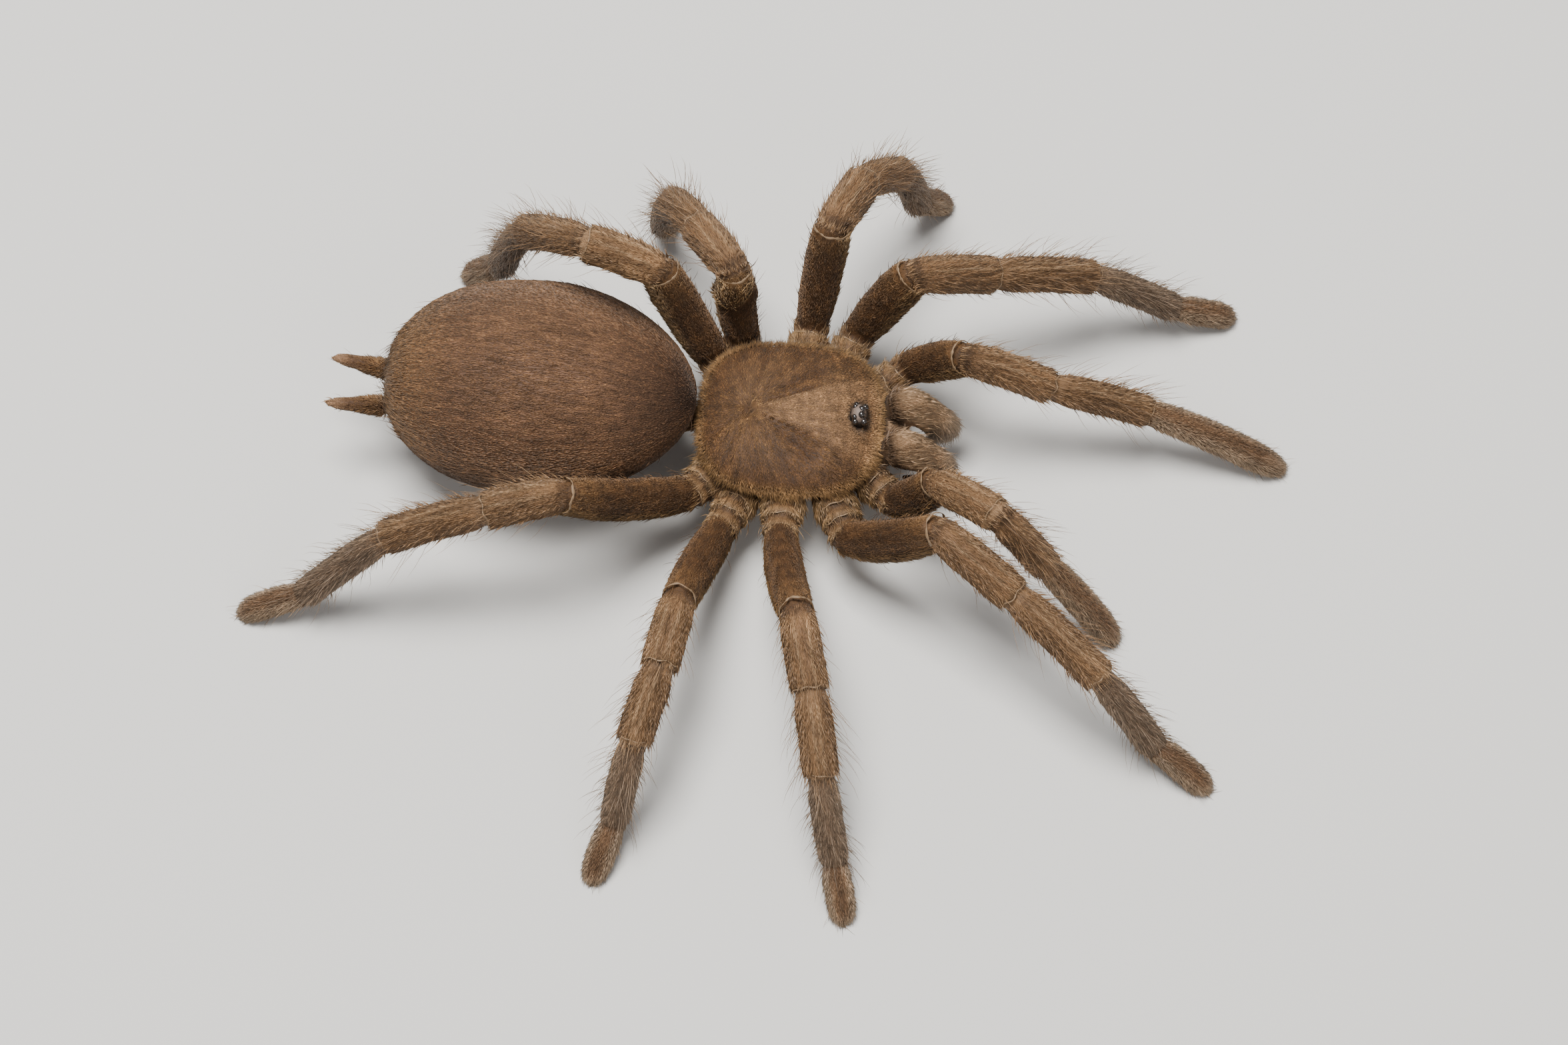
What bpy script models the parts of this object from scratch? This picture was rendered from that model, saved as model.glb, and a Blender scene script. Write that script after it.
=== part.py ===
"""A tarantula at life size, as a still museum model standing on all its feet.

The head points along +X, its left side lies at +Y, and the floor is at Z = 0, with the origin
below the middle of the whole stance. The outline of every piece is that of the living spider with
its short coat. Each leg is a chain of straight lengths from the hip, each with a heading and a
rise, and the cut between two lengths halves their bend.
"""

import math

import bmesh
import bpy
from mathutils import Matrix, Vector

MM = 0.001
GAP = 0.3 * MM  # left between neighbouring pieces
UP = Vector((0, 0, 1))
SIDES = {"left": 1, "right": -1}
LIMB_SIDES = 10
BODY_SIDES = 24
SPINNERET_SIDES = 10
FANG_SIDES = 8
FEMUR_STEPS = 3  # stretches between the cuts at a femur's ends
LENGTH_STEPS = 2  # and at the ends of any other length
BALL_SUBDIVISIONS = 2
SHARP_ANGLE = 40

# Head and chest. These and all later places are in millimetres from the point on the floor below
# the carapace's middle, and the finished spider is then moved as a whole.
CARAPACE_LENGTH = 18.9
CARAPACE_WIDTH = 17.4
CARAPACE_SQUARENESS = 2.9
CARAPACE_EDGE = (9.1, 9.7)  # lower and upper side of its rim
CARAPACE_SIDES = 32
CARAPACE_RINGS = (1.0, 0.93, 0.82, 0.66, 0.46, 0.24, 0.08)  # from the rim to the top
CARAPACE_DOME = 2.5
CARAPACE_DOME_POWER = 0.75
HEAD_RISE = 0.55
HEAD_MIDDLE = 4.6
HEAD_SPREAD = 3.6
STERNUM_RINGS = (  # height, half length, half width
    (4.3, 5.6, 3.6),
    (5.2, 7.4, 5.2),
    (7.2, 8.6, 6.6),
    (8.7, 8.7, 7.2),
)
EYE_MOUND = (7.0, 0.0, 11.9)
EYE_MOUND_SIZE = (1.15, 1.6, 1.25)  # half length, half width, height
EYE_SINK = 0.3  # share of an eye's radius that lies below the mound's surface at its middle
SOCKET_ROOM = 0.06
EYES = {  # place on the mound forward and to the side, and radius
    "anterior_median": (0.38, 0.43, 0.34),
    "anterior_lateral": (0.70, 1.12, 0.34),
    "posterior_median": (-0.36, 0.78, 0.25),
    "posterior_lateral": (-0.28, 1.30, 0.30),
}
CHELICERA_LINE = (  # forward, to the side, height, half width, half depth
    (9.9, 2.35, 9.4, 2.05, 2.1),
    (11.6, 2.4, 9.7, 2.2, 2.4),
    (13.6, 2.4, 9.4, 2.25, 2.5),
    (14.8, 2.35, 8.1, 2.2, 2.4),
    (15.4, 2.3, 6.3, 2.0, 2.0),
    (15.5, 2.25, 4.9, 1.5, 1.5),
    (15.4, 2.2, 4.3, 0.9, 0.9),
)
FANG_LINE = (
    (15.2, 2.2, 3.85, 0.55),
    (14.4, 2.15, 2.9, 0.5),
    (13.1, 2.05, 2.3, 0.4),
    (11.8, 1.95, 2.1, 0.26),
)

# Abdomen and what joins and ends it.
ABDOMEN_MIDDLE = (-25.2, 0.3, 11.7)
ABDOMEN_HALF = (16.2, 11.7, 9.2)
ABDOMEN_FRONT_SQUARENESS = 1.85
ABDOMEN_REAR_SQUARENESS = 2.35
ABDOMEN_RINGS = 12
ABDOMEN_CAP = 0.04  # where its first and last rings lie, as a share of the half turn round it
PEDICEL_LINE = ((-9.4, 0.0, 7.2, 1.3), (-14.0, 0.0, 9.8, 1.4))
SPINNERET_LINE = (
    (-36.0, 1.6, 8.8, 0.9),
    (-41.5, 2.1, 9.5, 0.95),
    (-43.6, 2.3, 9.85, 0.86),
    (-44.0, 2.32, 9.9, 0.9),
    (-46.4, 2.55, 10.25, 0.72),
    (-47.3, 2.6, 10.4, 0.38),
)

# Limbs: the hip is the outer end of the trochanter, and the root lies inside the chest. Each hip
# swings a little on its soft joint, so the two sides differ.
ROOTS = {
    1: (4.0, 3.6, 6.6),
    2: (1.2, 3.6, 6.6),
    3: (-1.8, 3.4, 6.4),
    4: (-4.6, 2.8, 6.5),
    "palp": (6.4, 3.4, 6.4),
}
HIPS = {
    ("left", 1): (6.1, 11.6, 7.3),
    ("left", 2): (1.2, 12.1, 7.4),
    ("left", 3): (-5.9, 10.3, 6.6),
    ("left", 4): (-8.6, 7.6, 7.1),
    ("left", "palp"): (11.4, 8.1, 7.2),
    ("right", 1): (7.0, -11.8, 7.3),
    ("right", 2): (0.1, -12.0, 7.4),
    ("right", 3): (-6.0, -11.5, 6.6),
    ("right", 4): (-9.5, -8.0, 7.1),
    ("right", "palp"): (11.4, -7.3, 7.2),
}
LEG_PARTS = ("femur", "patella", "tibia", "metatarsus", "tarsus")
PALP_PARTS = ("femur", "patella", "tibia", "tarsus")
LENGTHS = {
    1: (13.2, 9.9, 11.8, 11.1, 6.8),
    2: (15.2, 7.8, 8.5, 9.9, 5.9),
    3: (13.2, 7.5, 7.9, 10.3, 6.3),
    4: (16.6, 8.0, 11.0, 13.4, 7.1),
    ("left", "palp"): (10.2, 10.0, 11.0, 15.8),
    ("right", "palp"): (9.0, 8.4, 9.2, 13.4),  # regrown after a loss, and shorter
}
# Heading of each length from straight ahead, and its rise above the level, in degrees.
# The last length has no rise of its own, because it slopes down until its tip is on the floor.
STANCE = {
    ("left", 1): ((7, 22, 17, 4, 10), (67, -27, -23, -38)),
    ("left", 2): ((63, 69, 52, 45, 45), (76, -16, -45, -76)),
    ("left", 3): ((129, 127, 123, 125, 88), (86, -13, -38, -76)),
    ("left", 4): ((167, 170, 148, 147, 157), (72, 18, -39, -72)),
    ("left", "palp"): ((-24, -3, 0, -8), (53, -24, -21)),
    ("right", 1): ((-17, -33, -37, -28, -29), (45, -13, -14, -52)),
    ("right", 2): ((-77, -75, -77, -74, -73), (35, -14, -23, -52)),
    ("right", 3): ((-105, -99, -104, -108, -110), (30, 1, -13, -59)),
    ("right", 4): ((-152, -166, -168, -163, -168), (38, -7, -19, -47)),
    ("right", "palp"): ((-18, -35, -19, -19), (62, 23, -52)),
}
TIP_BALL = 0.9  # from a limb's end back to the middle of its rounded tip
TIP_BALL_HEIGHT = 0.97  # which is less than the tip's radius, so that it stands on a small sole
TIP_ROUNDING = ((1.4, 0.94), (0.8, 0.86), (0.3, 0.66), (0.0, 0.36))  # before the tip, and width
COXA_RADIUS = 2.25
COXA_ENDS = (0.8, 0.95)  # width at the root and at the hip
COXA_FOLDS = ((0.62, 1.0), (0.42, 0.93), (0.38, 1.0))  # back from the hip over its length, width
LIMB_RADII = {
    "femur": 2.42,
    "patella": 2.25,
    "tibia": 2.1,
    "metatarsus": 1.85,
    "tarsus": 1.7,
}
PALP_SLIMNESS = 0.93
PALP_TARSUS_RADIUS = 1.85
# Along each length, from its near end to its far end: share of the radius there.
SWELL = {
    "femur": ((0.0, 0.9), (0.3, 1.0), (0.65, 1.0), (1.0, 0.84)),
    "patella": ((0.0, 0.86), (0.35, 1.0), (0.7, 1.0), (1.0, 0.9)),
    "tibia": ((0.0, 0.9), (0.35, 1.0), (0.7, 1.0), (1.0, 0.92)),
    "metatarsus": ((0.0, 0.98), (0.35, 1.0), (0.7, 0.96), (1.0, 0.92)),
    "tarsus": ((0.0, 0.94), (0.35, 1.0), (0.75, 0.98), (1.0, 0.72)),
}
FEMUR_FLATNESS = 1.1  # depth over mean, as a femur is deeper than it is wide
ARCH = 0.035  # how far a length bows upwards, over its length
FEMUR_ARCH_SHARE = 0.3  # a femur has this much of that bow
FEMUR_SPREAD = 0.05  # how far a femur bows away from the body, over its length
CUT_CLEARANCE = 0.4  # from a slanting end cut to the next ring

# Colour and roughness of the short coat or the bare surface.
FINISHES = {
    "carapace": ("8E6F52", 0.75),
    "chest": ("7A5E45", 0.8),
    "abdomen": ("765740", 0.8),
    "chelicera": ("856852", 0.75),
    "fang": ("1B0F0B", 0.25),
    "eye": ("0B0908", 0.08),
    "eye_mound": ("4A382B", 0.6),
    "spinneret": ("6B4A30", 0.8),
    "femur": ("523A24", 0.7),
    "patella": ("846852", 0.75),
    "tibia": ("7F6248", 0.75),
    "foot": ("6F5844", 0.8),
}


def linear(value):
    """Linear light of one sRGB channel from 0 to 1."""
    return value / 12.92 if value <= 0.04045 else ((value + 0.055) / 1.055) ** 2.4


def coat(name):
    """A material of its own for one piece, in its finish."""
    finish = next(key for key in sorted(FINISHES, key=len, reverse=True) if key in name)
    hex_colour, roughness = FINISHES[finish]
    channels = [linear(int(hex_colour[i : i + 2], 16) / 255) for i in (0, 2, 4)]
    material = bpy.data.materials.new(name)
    material.use_nodes = True
    shader = material.node_tree.nodes["Principled BSDF"]
    shader.inputs["Base Color"].default_value = (*channels, 1)
    shader.inputs["Roughness"].default_value = roughness
    material.diffuse_color = (*channels, 1)
    return material


def add_object(name, bm, finish=None):
    """Turns a bmesh into a named object with its material, faces outwards."""
    bmesh.ops.recalc_face_normals(bm, faces=bm.faces)
    mesh = bpy.data.meshes.new(name)
    bm.to_mesh(mesh)
    bm.free()
    mesh.shade_smooth()
    mesh.set_sharp_from_angle(angle=math.radians(SHARP_ANGLE))
    piece = bpy.data.objects.new(name, mesh)
    bpy.context.scene.collection.objects.link(piece)
    mesh.materials.append(coat(finish or name))
    return piece


def hide_helper(helper):
    helper.hide_render = True
    helper.display_type = "WIRE"
    return helper


def change_by(piece, operation, helper):
    """A Boolean with one helper object."""
    modifier = piece.modifiers.new(operation.lower(), "BOOLEAN")
    modifier.operation = operation
    modifier.object = helper


def ring_frame(centre, normal, half_width, half_depth):
    """The frame of a ring that stands across a limb: width to the side, depth up."""
    side = UP.cross(normal).normalized()
    rise = normal.cross(side)
    columns = (side * half_width, rise * half_depth, normal)
    frame = Matrix([(*column, 0) for column in columns] + [(0, 0, 0, 1)]).transposed()
    return Matrix.Translation(centre) @ frame


def loft(frames, sides=LIMB_SIDES):
    """A closed body through rings, each the frame of a unit circle."""
    bm = bmesh.new()
    loops = []
    for number, frame in enumerate(frames):
        made = bmesh.ops.create_circle(
            bm, cap_ends=number in (0, len(frames) - 1), segments=sides, radius=1, matrix=frame
        )
        ring = set(made["verts"])
        loops.append([edge for edge in bm.edges if ring.issuperset(edge.verts)])
    for near, far in zip(loops, loops[1:]):
        bmesh.ops.bridge_loops(bm, edges=near + far)
    return bm


def line_frames(line, side=1, grow=0.0):
    """Rings along a line of points, each with its half width and half depth, across its run."""
    points = [Vector((x, side * y, z)) * MM for x, y, z, *_ in line]
    frames = []
    for number, point in enumerate(points):
        ahead = points[min(number + 1, len(points) - 1)]
        behind = points[max(number - 1, 0)]
        sizes = line[number][3:]
        half_width = sizes[0] * MM + grow
        half_depth = sizes[-1] * MM + grow
        frames.append(ring_frame(point, (ahead - behind).normalized(), half_width, half_depth))
    return frames


def signed_power(value, power):
    return math.copysign(abs(value) ** power, value)


def carapace_height(x, y):
    """Height in millimetres of the shield's upper side, over the head and the chest."""
    out = abs(2 * x / CARAPACE_LENGTH) ** CARAPACE_SQUARENESS
    out += abs(2 * y / CARAPACE_WIDTH) ** CARAPACE_SQUARENESS
    dome = CARAPACE_DOME * max(0.0, 1 - out) ** CARAPACE_DOME_POWER
    from_head = ((x - HEAD_MIDDLE) / HEAD_SPREAD) ** 2 + (y / HEAD_SPREAD) ** 2
    head = HEAD_RISE * math.exp(-from_head)
    return CARAPACE_EDGE[1] + dome + head * min(1.0, dome)


def add_carapace(name, grow=0.0):
    """The shield over head and chest, grown all round by a distance where it serves to cut."""
    bm = bmesh.new()
    half_length = CARAPACE_LENGTH * MM / 2 + grow
    half_width = CARAPACE_WIDTH * MM / 2 + grow
    rings = [(1.0, CARAPACE_EDGE[0] * MM - grow)]
    rings += [(share, None) for share in CARAPACE_RINGS]
    shrink = 1 / (1 + 2 * grow / (CARAPACE_LENGTH * MM))
    loops = []
    for share, height in rings:
        ring = []
        for step in range(CARAPACE_SIDES):
            angle = 2 * math.pi * step / CARAPACE_SIDES
            x = half_length * share * signed_power(math.cos(angle), 2 / CARAPACE_SQUARENESS)
            y = half_width * share * signed_power(math.sin(angle), 2 / CARAPACE_SQUARENESS)
            z = height
            if z is None:
                z = carapace_height(x / MM * shrink, y / MM * shrink) * MM + grow
            ring.append(bm.verts.new((x, y, z)))
        loops.append(ring)
    bm.faces.new(loops[0])
    bm.faces.new(loops[-1])
    for near, far in zip(loops, loops[1:]):
        for step in range(len(near)):
            after = (step + 1) % len(near)
            bm.faces.new((near[step], near[after], far[after], far[step]))
    return add_object(name, bm, "carapace")


def add_chest(cutters):
    """Breastplate and the ten short coxae in one piece, below the shield."""
    frames = []
    for height, half_length, half_width in STERNUM_RINGS:
        scale = Matrix.Diagonal((half_length * MM, half_width * MM, 1, 1))
        frames.append(Matrix.Translation((0, 0, height * MM)) @ scale)
    chest = add_object("chest_with_coxae", loft(frames, BODY_SIDES), "chest")
    for side_name, limb in HIPS:
        coxa = add_object(f"coxa_{side_name}_{limb}", loft(coxa_frames(side_name, limb)), "chest")
        change_by(chest, "UNION", hide_helper(coxa))
    for cutter in cutters:
        change_by(chest, "DIFFERENCE", cutter)


def root_of(side_name, limb):
    """Where a coxa starts inside the chest."""
    x, y, z = ROOTS[limb]
    return Vector((x, SIDES[side_name] * y, z)) * MM


def coxa_frames(side_name, limb):
    """Rings of a coxa and its trochanter, whose last cut halves the bend at the hip."""
    root = root_of(side_name, limb)
    hip, knee = chain(side_name, limb)[:2]
    run = (hip - root).normalized()
    cut = (run + (knee - hip).normalized()).normalized()
    radius = COXA_RADIUS * MM * (PALP_SLIMNESS if limb == "palp" else 1)
    near, far = (radius * share for share in COXA_ENDS)
    frames = [ring_frame(root, run, near, near)]
    for back, share in COXA_FOLDS:
        frames.append(ring_frame(hip.lerp(root, back), run, radius * share, radius * share))
    end = hip - cut * GAP / 2
    frames.append(ring_frame(end, cut, far, far))
    return frames


def chain(side_name, limb):
    """The joints of a limb from its hip to its tip."""
    point = Vector(HIPS[side_name, limb]) * MM
    points = [point]
    headings, rises = STANCE[side_name, limb]
    for number, length in enumerate(LENGTHS.get(limb) or LENGTHS[side_name, limb]):
        length *= MM
        if number < len(rises):
            rise = math.radians(rises[number])
        else:
            rise = math.asin((TIP_BALL_HEIGHT * MM - point.z) / (length - TIP_BALL * MM))
        heading = math.radians(headings[number])
        level = Vector((math.cos(heading), math.sin(heading), 0)) * math.cos(rise)
        point = point + (level + UP * math.sin(rise)) * length
        points.append(point)
    return points


def along(table, share):
    """The value of a table of (share, value) at a share, on straight lines between its rows."""
    for (low, first), (high, second) in zip(table, table[1:]):
        if share <= high:
            return first + (second - first) * (share - low) / (high - low)
    return table[-1][1]


def limb_radius(part, limb):
    """Half the thickness of one length of a limb, in metres."""
    if limb == "palp":
        return (PALP_TARSUS_RADIUS if part == "tarsus" else LIMB_RADII[part] * PALP_SLIMNESS) * MM
    return LIMB_RADII[part] * MM


def length_frames(part, limb, start, end, before, after):
    """Rings of one length from start to end. The cuts at its ends halve the bend to the runs
    before and after it, and the rings beside a cut stand far enough off to clear it."""
    run = (end - start).normalized()
    length = (end - start).length
    radius = limb_radius(part, limb)
    depth = FEMUR_FLATNESS if part == "femur" else 1
    bow = run.cross(UP).cross(run).normalized() * ARCH * length
    if part == "femur":
        away = Vector((start.x, start.y, 0)).normalized()
        away -= run * away.dot(run)
        bow = bow * FEMUR_ARCH_SHARE + away.normalized() * FEMUR_SPREAD * length

    def ring(centre, normal, share):
        size = radius * along(SWELL[part], share)
        centre = centre + bow * math.sin(math.pi * share)
        return ring_frame(centre, normal, size / depth, size * depth)

    def clearance(cut):
        return radius * math.tan(run.angle(cut)) + CUT_CLEARANCE * MM

    near_cut = (before + run).normalized()
    far_cut = (run + after).normalized()
    low = clearance(near_cut) / length
    high = 1 - clearance(far_cut) / length
    frames = [ring(start + near_cut * GAP / 2, near_cut, 0)]
    steps = FEMUR_STEPS if part == "femur" else LENGTH_STEPS
    for step in range(steps + 1):
        share = low + (high - low) * step / steps
        frames.append(ring(start.lerp(end, share), run, share))
    frames.append(ring(end - far_cut * GAP / 2, far_cut, 1))
    return frames


def tip_frames(part, limb, start, end, before):
    """Rings of a limb's last length, up to its blunt rounded tip."""
    run = (end - start).normalized()
    frames = length_frames(part, limb, start, end, before, run)[:-2]
    radius = limb_radius(part, limb)
    for back, share in TIP_ROUNDING:
        frames.append(ring_frame(end - run * back * MM, run, radius * share, radius * share))
    return frames


def stand_on_floor(bm):
    """Flattens whatever reaches below the floor, which leaves the small sole of a foot."""
    for vertex in bm.verts:
        vertex.co.z = max(vertex.co.z, 0)


def add_limb(side_name, limb):
    """One object for each length of a limb. A leg's metatarsus and tarsus make its foot."""
    joints = chain(side_name, limb)
    starts = [root_of(side_name, limb), *joints]
    runs = [(end - start).normalized() for start, end in zip(starts, joints)]
    parts = PALP_PARTS if limb == "palp" else LEG_PARTS
    prefix = f"palp_{side_name}" if limb == "palp" else f"leg_{side_name}_{limb}"
    feet = []
    for number, part in enumerate(parts):
        start, end = joints[number], joints[number + 1]
        before = runs[number]
        if number + 1 < len(parts):
            frames = length_frames(part, limb, start, end, before, runs[number + 2])
        else:
            frames = tip_frames(part, limb, start, end, before)
        if limb != "palp" and part == "metatarsus":
            feet = frames[:-1]
            continue
        name = "foot" if part == "tarsus" and feet else part
        bm = loft(feet + frames)
        stand_on_floor(bm)
        add_object(f"{prefix}_{name}", bm, "foot" if part == "tarsus" else part)


def add_abdomen(name, grow=0.0):
    """The egg-shaped abdomen, blunt behind and narrower in front."""
    half = [size * MM + grow for size in ABDOMEN_HALF]
    middle = Vector(ABDOMEN_MIDDLE) * MM
    frames = []
    for step in range(ABDOMEN_RINGS + 1):
        turn = ABDOMEN_CAP + (1 - 2 * ABDOMEN_CAP) * step / ABDOMEN_RINGS
        place = -math.cos(math.pi * turn)
        power = ABDOMEN_FRONT_SQUARENESS if place > 0 else ABDOMEN_REAR_SQUARENESS
        size = (1 - abs(place) ** power) ** (1 / power)
        centre = middle + Vector((place * half[0], 0, 0))
        frames.append(ring_frame(centre, Vector((1, 0, 0)), half[1] * size, half[2] * size))
    return add_object(name, loft(frames, BODY_SIDES), "abdomen")


def mound_point(forward, to_side):
    """A point in metres on the eye mound, and the mound's outward direction there."""
    half_length, half_width, height = EYE_MOUND_SIZE
    rest = max(0.0, 1 - (forward / half_length) ** 2 - (to_side / half_width) ** 2)
    rise = height * math.sqrt(rest)
    outward = Vector((forward / half_length**2, to_side / half_width**2, rise / height**2))
    return (Vector(EYE_MOUND) + Vector((forward, to_side, rise))) * MM, outward.normalized()


def add_ball(name, centre, radii, finish):
    """A rounded body of three half sizes."""
    bm = bmesh.new()
    matrix = Matrix.Translation(centre) @ Matrix.Diagonal((*radii, 1))
    bmesh.ops.create_icosphere(bm, subdivisions=BALL_SUBDIVISIONS, radius=1, matrix=matrix)
    return add_object(name, bm, finish)


def add_eyes(carapace_cutter):
    """The mound on the shield's front and the eight eyes in their sockets on it."""
    radii = [size * MM for size in EYE_MOUND_SIZE]
    mound = add_ball("eye_mound", Vector(EYE_MOUND) * MM, radii, "eye_mound")
    change_by(mound, "DIFFERENCE", carapace_cutter)
    for eye_name, (forward, to_side, radius) in EYES.items():
        for side_name, side in SIDES.items():
            place, outward = mound_point(forward, side * to_side)
            centre = place - outward * radius * EYE_SINK * MM
            name = f"eye_{eye_name}_{side_name}"
            add_ball(name, centre, [radius * MM] * 3, "eye")
            room = (radius + SOCKET_ROOM) * MM
            socket = hide_helper(add_ball(f"socket_{name}", centre, [room] * 3, "eye"))
            change_by(mound, "DIFFERENCE", socket)


def centre_stance():
    """Hangs every piece on one empty, and moves it to put the stance's middle over the origin."""
    pieces = list(bpy.data.objects)
    shown = [piece for piece in pieces if not piece.hide_render]
    corners = [vertex.co for piece in shown for vertex in piece.data.vertices]
    stance = bpy.data.objects.new("stance", None)
    bpy.context.scene.collection.objects.link(stance)
    for piece in pieces:
        piece.parent = stance
    for axis in (0, 1):
        places = [corner[axis] for corner in corners]
        stance.location[axis] = -(min(places) + max(places)) / 2


def main():
    for thing in list(bpy.data.objects):
        bpy.data.objects.remove(thing)
    add_carapace("carapace")
    carapace_cutter = hide_helper(add_carapace("carapace_cutter", GAP))
    abdomen_cutter = hide_helper(add_abdomen("abdomen_cutter", GAP))
    add_abdomen("abdomen")
    cutters = [carapace_cutter]
    for side_name, side in SIDES.items():
        add_object(f"chelicera_{side_name}", loft(line_frames(CHELICERA_LINE, side)), "chelicera")
        grown = loft(line_frames(CHELICERA_LINE, side, GAP))
        cutters.append(hide_helper(add_object(f"chelicera_cutter_{side_name}", grown, "chelicera")))
        add_object(f"fang_{side_name}", loft(line_frames(FANG_LINE, side), FANG_SIDES), "fang")
        spinneret = loft(line_frames(SPINNERET_LINE, side), SPINNERET_SIDES)
        spinneret = add_object(f"spinneret_{side_name}", spinneret, "spinneret")
        change_by(spinneret, "DIFFERENCE", abdomen_cutter)
    add_chest(cutters)
    pedicel = add_object("pedicel", loft(line_frames(PEDICEL_LINE)), "chest")
    change_by(pedicel, "DIFFERENCE", abdomen_cutter)
    add_eyes(carapace_cutter)
    for side_name, limb in HIPS:
        add_limb(side_name, limb)
    centre_stance()


main()
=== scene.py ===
"""The looks of a fawn-brown tarantula: skin, eyes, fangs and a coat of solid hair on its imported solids.

One skin takes the place of all the flesh. It is made of rounded lengths along the lines of the
solids, melted into one surface that lies below their outline by the depth of the coat. Hair is
then rooted all over it: short hair that lies along the body, and longer bristles that stand out.
Lengths in this file are in millimetres, and become metres as a mesh is made.
"""

import math
from types import SimpleNamespace

import bpy
import numpy as np
from mathutils import Matrix, Vector


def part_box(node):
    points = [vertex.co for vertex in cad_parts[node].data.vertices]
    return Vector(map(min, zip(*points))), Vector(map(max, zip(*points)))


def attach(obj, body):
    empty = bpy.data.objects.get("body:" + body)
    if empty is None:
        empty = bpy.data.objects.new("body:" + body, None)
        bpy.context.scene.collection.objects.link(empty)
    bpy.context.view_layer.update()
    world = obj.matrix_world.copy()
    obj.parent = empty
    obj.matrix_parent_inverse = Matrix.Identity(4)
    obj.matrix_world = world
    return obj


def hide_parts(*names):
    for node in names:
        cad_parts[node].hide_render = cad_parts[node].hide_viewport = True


bl_info = {
    "name": "Tarantula looks",
    "version": (1, 0, 0),
    "blender": (4, 5, 0),
    "location": "3D View > Sidebar > Tarantula",
    "description": "Skin, eyes, fangs and coat of a tarantula",
    "category": "Object",
}

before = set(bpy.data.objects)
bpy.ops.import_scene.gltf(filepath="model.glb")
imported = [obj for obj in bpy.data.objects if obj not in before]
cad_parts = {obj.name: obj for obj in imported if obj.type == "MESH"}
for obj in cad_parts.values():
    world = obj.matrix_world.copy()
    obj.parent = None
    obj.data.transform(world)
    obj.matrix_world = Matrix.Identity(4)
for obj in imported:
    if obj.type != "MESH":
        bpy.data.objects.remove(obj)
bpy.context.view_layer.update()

MM = 0.001
COAT_DEPTH = 0.38  # how far the skin lies inside the solids
SEED = 8
RING_POINTS = 10  # corners of a limb solid's end
REACH = 0.06  # how far to each side a cross section is read, as a share of the length
UP = np.array((0.0, 0.0, 1.0))

# ---------------------------------------------------------------- what the coat is like

# For each kind of surface: hairs on a square millimetre, their length and width, how far they rise
# from the skin at the root and at the tip, and how far they stray from the lie, in degrees.
COATS = {
    "abdomen": (35, 0.80, 0.056, 8, 2, 10),
    "carapace": (80, 0.46, 0.038, 8, 1, 13),
    "bare": (0, 0.5, 0.05, 20, 10, 20),
    "sternum": (12, 0.90, 0.080, 25, 12, 20),
    "pedicel": (20, 0.80, 0.070, 25, 12, 20),
    "coxa": (52, 0.50, 0.040, 9, 3, 12),
    "femur": (54, 0.58, 0.036, 8, 2, 10),
    "patella": (47, 1.00, 0.038, 7, 2, 8),
    "tibia": (47, 1.00, 0.038, 8, 3, 9),
    "metatarsus": (47, 0.90, 0.038, 10, 4, 11),
    "tarsus": (54, 0.70, 0.042, 14, 6, 13),
    "chelicera": (96, 1.15, 0.031, 6, 2, 7),
    "spinneret": (90, 0.36, 0.034, 8, 3, 12),
}
KINDS = list(COATS)
# How far streaks, mottling and chance change the brightness of each kind.
STREAK_DEPTH = np.array([0.10 if kind in ("carapace", "femur") else 0.14 for kind in KINDS])
MOTTLE_DEPTH = np.array([0.24 if kind in ("carapace", "femur") else 0.08 for kind in KINDS])
HAIR_SPREAD = np.array([0.28 if kind in ("carapace", "abdomen") else 0.16 for kind in KINDS])
WARMTH = np.array((0.88, 0.82, 0.725))  # of all colours in the coat, against a cool sky
# Bristles on each kind: how many to a square millimetre, length of the common ones and of the few
# long ones, width, rise at the root and at the tip.
BRISTLES = {
    "abdomen": (0.12, 1.3, 2.4, 0.050, 28, 16),
    "carapace": (0.20, 0.8, 1.6, 0.045, 30, 20),
    "coxa": (2.2, 1.3, 2.4, 0.045, 34, 16),
    "femur": (1.6, 1.0, 2.4, 0.040, 30, 14),
    "patella": (4.0, 1.3, 3.4, 0.042, 36, 20),
    "tibia": (4.8, 1.5, 4.4, 0.042, 40, 24),
    "metatarsus": (5.2, 1.5, 3.8, 0.042, 46, 28),
    "tarsus": (3.4, 1.0, 1.8, 0.042, 40, 28),
    "chelicera": (1.6, 1.6, 2.6, 0.045, 24, 12),
    "spinneret": (2.0, 0.7, 1.4, 0.040, 36, 22),
}
NO_BRISTLES = (0, 1, 1, 0.05, 40, 20)  # stands in for a kind without a row there
LONG_SHARE = 0.17  # of all bristles
FRINGE = (0.66, 0.88)  # where the shield's fringe starts and is full, out from its middle
JOINTED = ("coxa", "femur", "patella", "tibia", "metatarsus")  # each ends in the next one's neck
# Colours of each kind: of the ground, of the hair and of the hair's tip.
TONES = {
    "abdomen": ("5A4130", "644834", "896A4D"),
    "carapace": ("3E2A18", "664A30", "977852"),
    # bare: hidden under the eye mound; in the gap behind the chelicerae its near black is painted shade
    "bare": ("0C0704", "140C07", "1C120A"),
    "sternum": ("2C1C10", "5C432E", "8A6C4C"),
    "pedicel": ("33220F", "6A4E34", "A08258"),
    "coxa": ("3C2918", "6E5236", "A98A62"),
    "femur": ("3A2716", "4E3621", "6E5234"),
    "patella": ("6B5038", "7F6145", "A08261"),
    "tibia": ("695037", "7B6045", "98795A"),
    "metatarsus": ("635142", "7A6655", "9C8976"),
    "tarsus": ("523C29", "7E634C", "B09980"),
    "chelicera": ("8A6E56", "AB8C6E", "C9AC8D"),
    "spinneret": ("352213", "583D28", "8C6E4C"),
}
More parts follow.
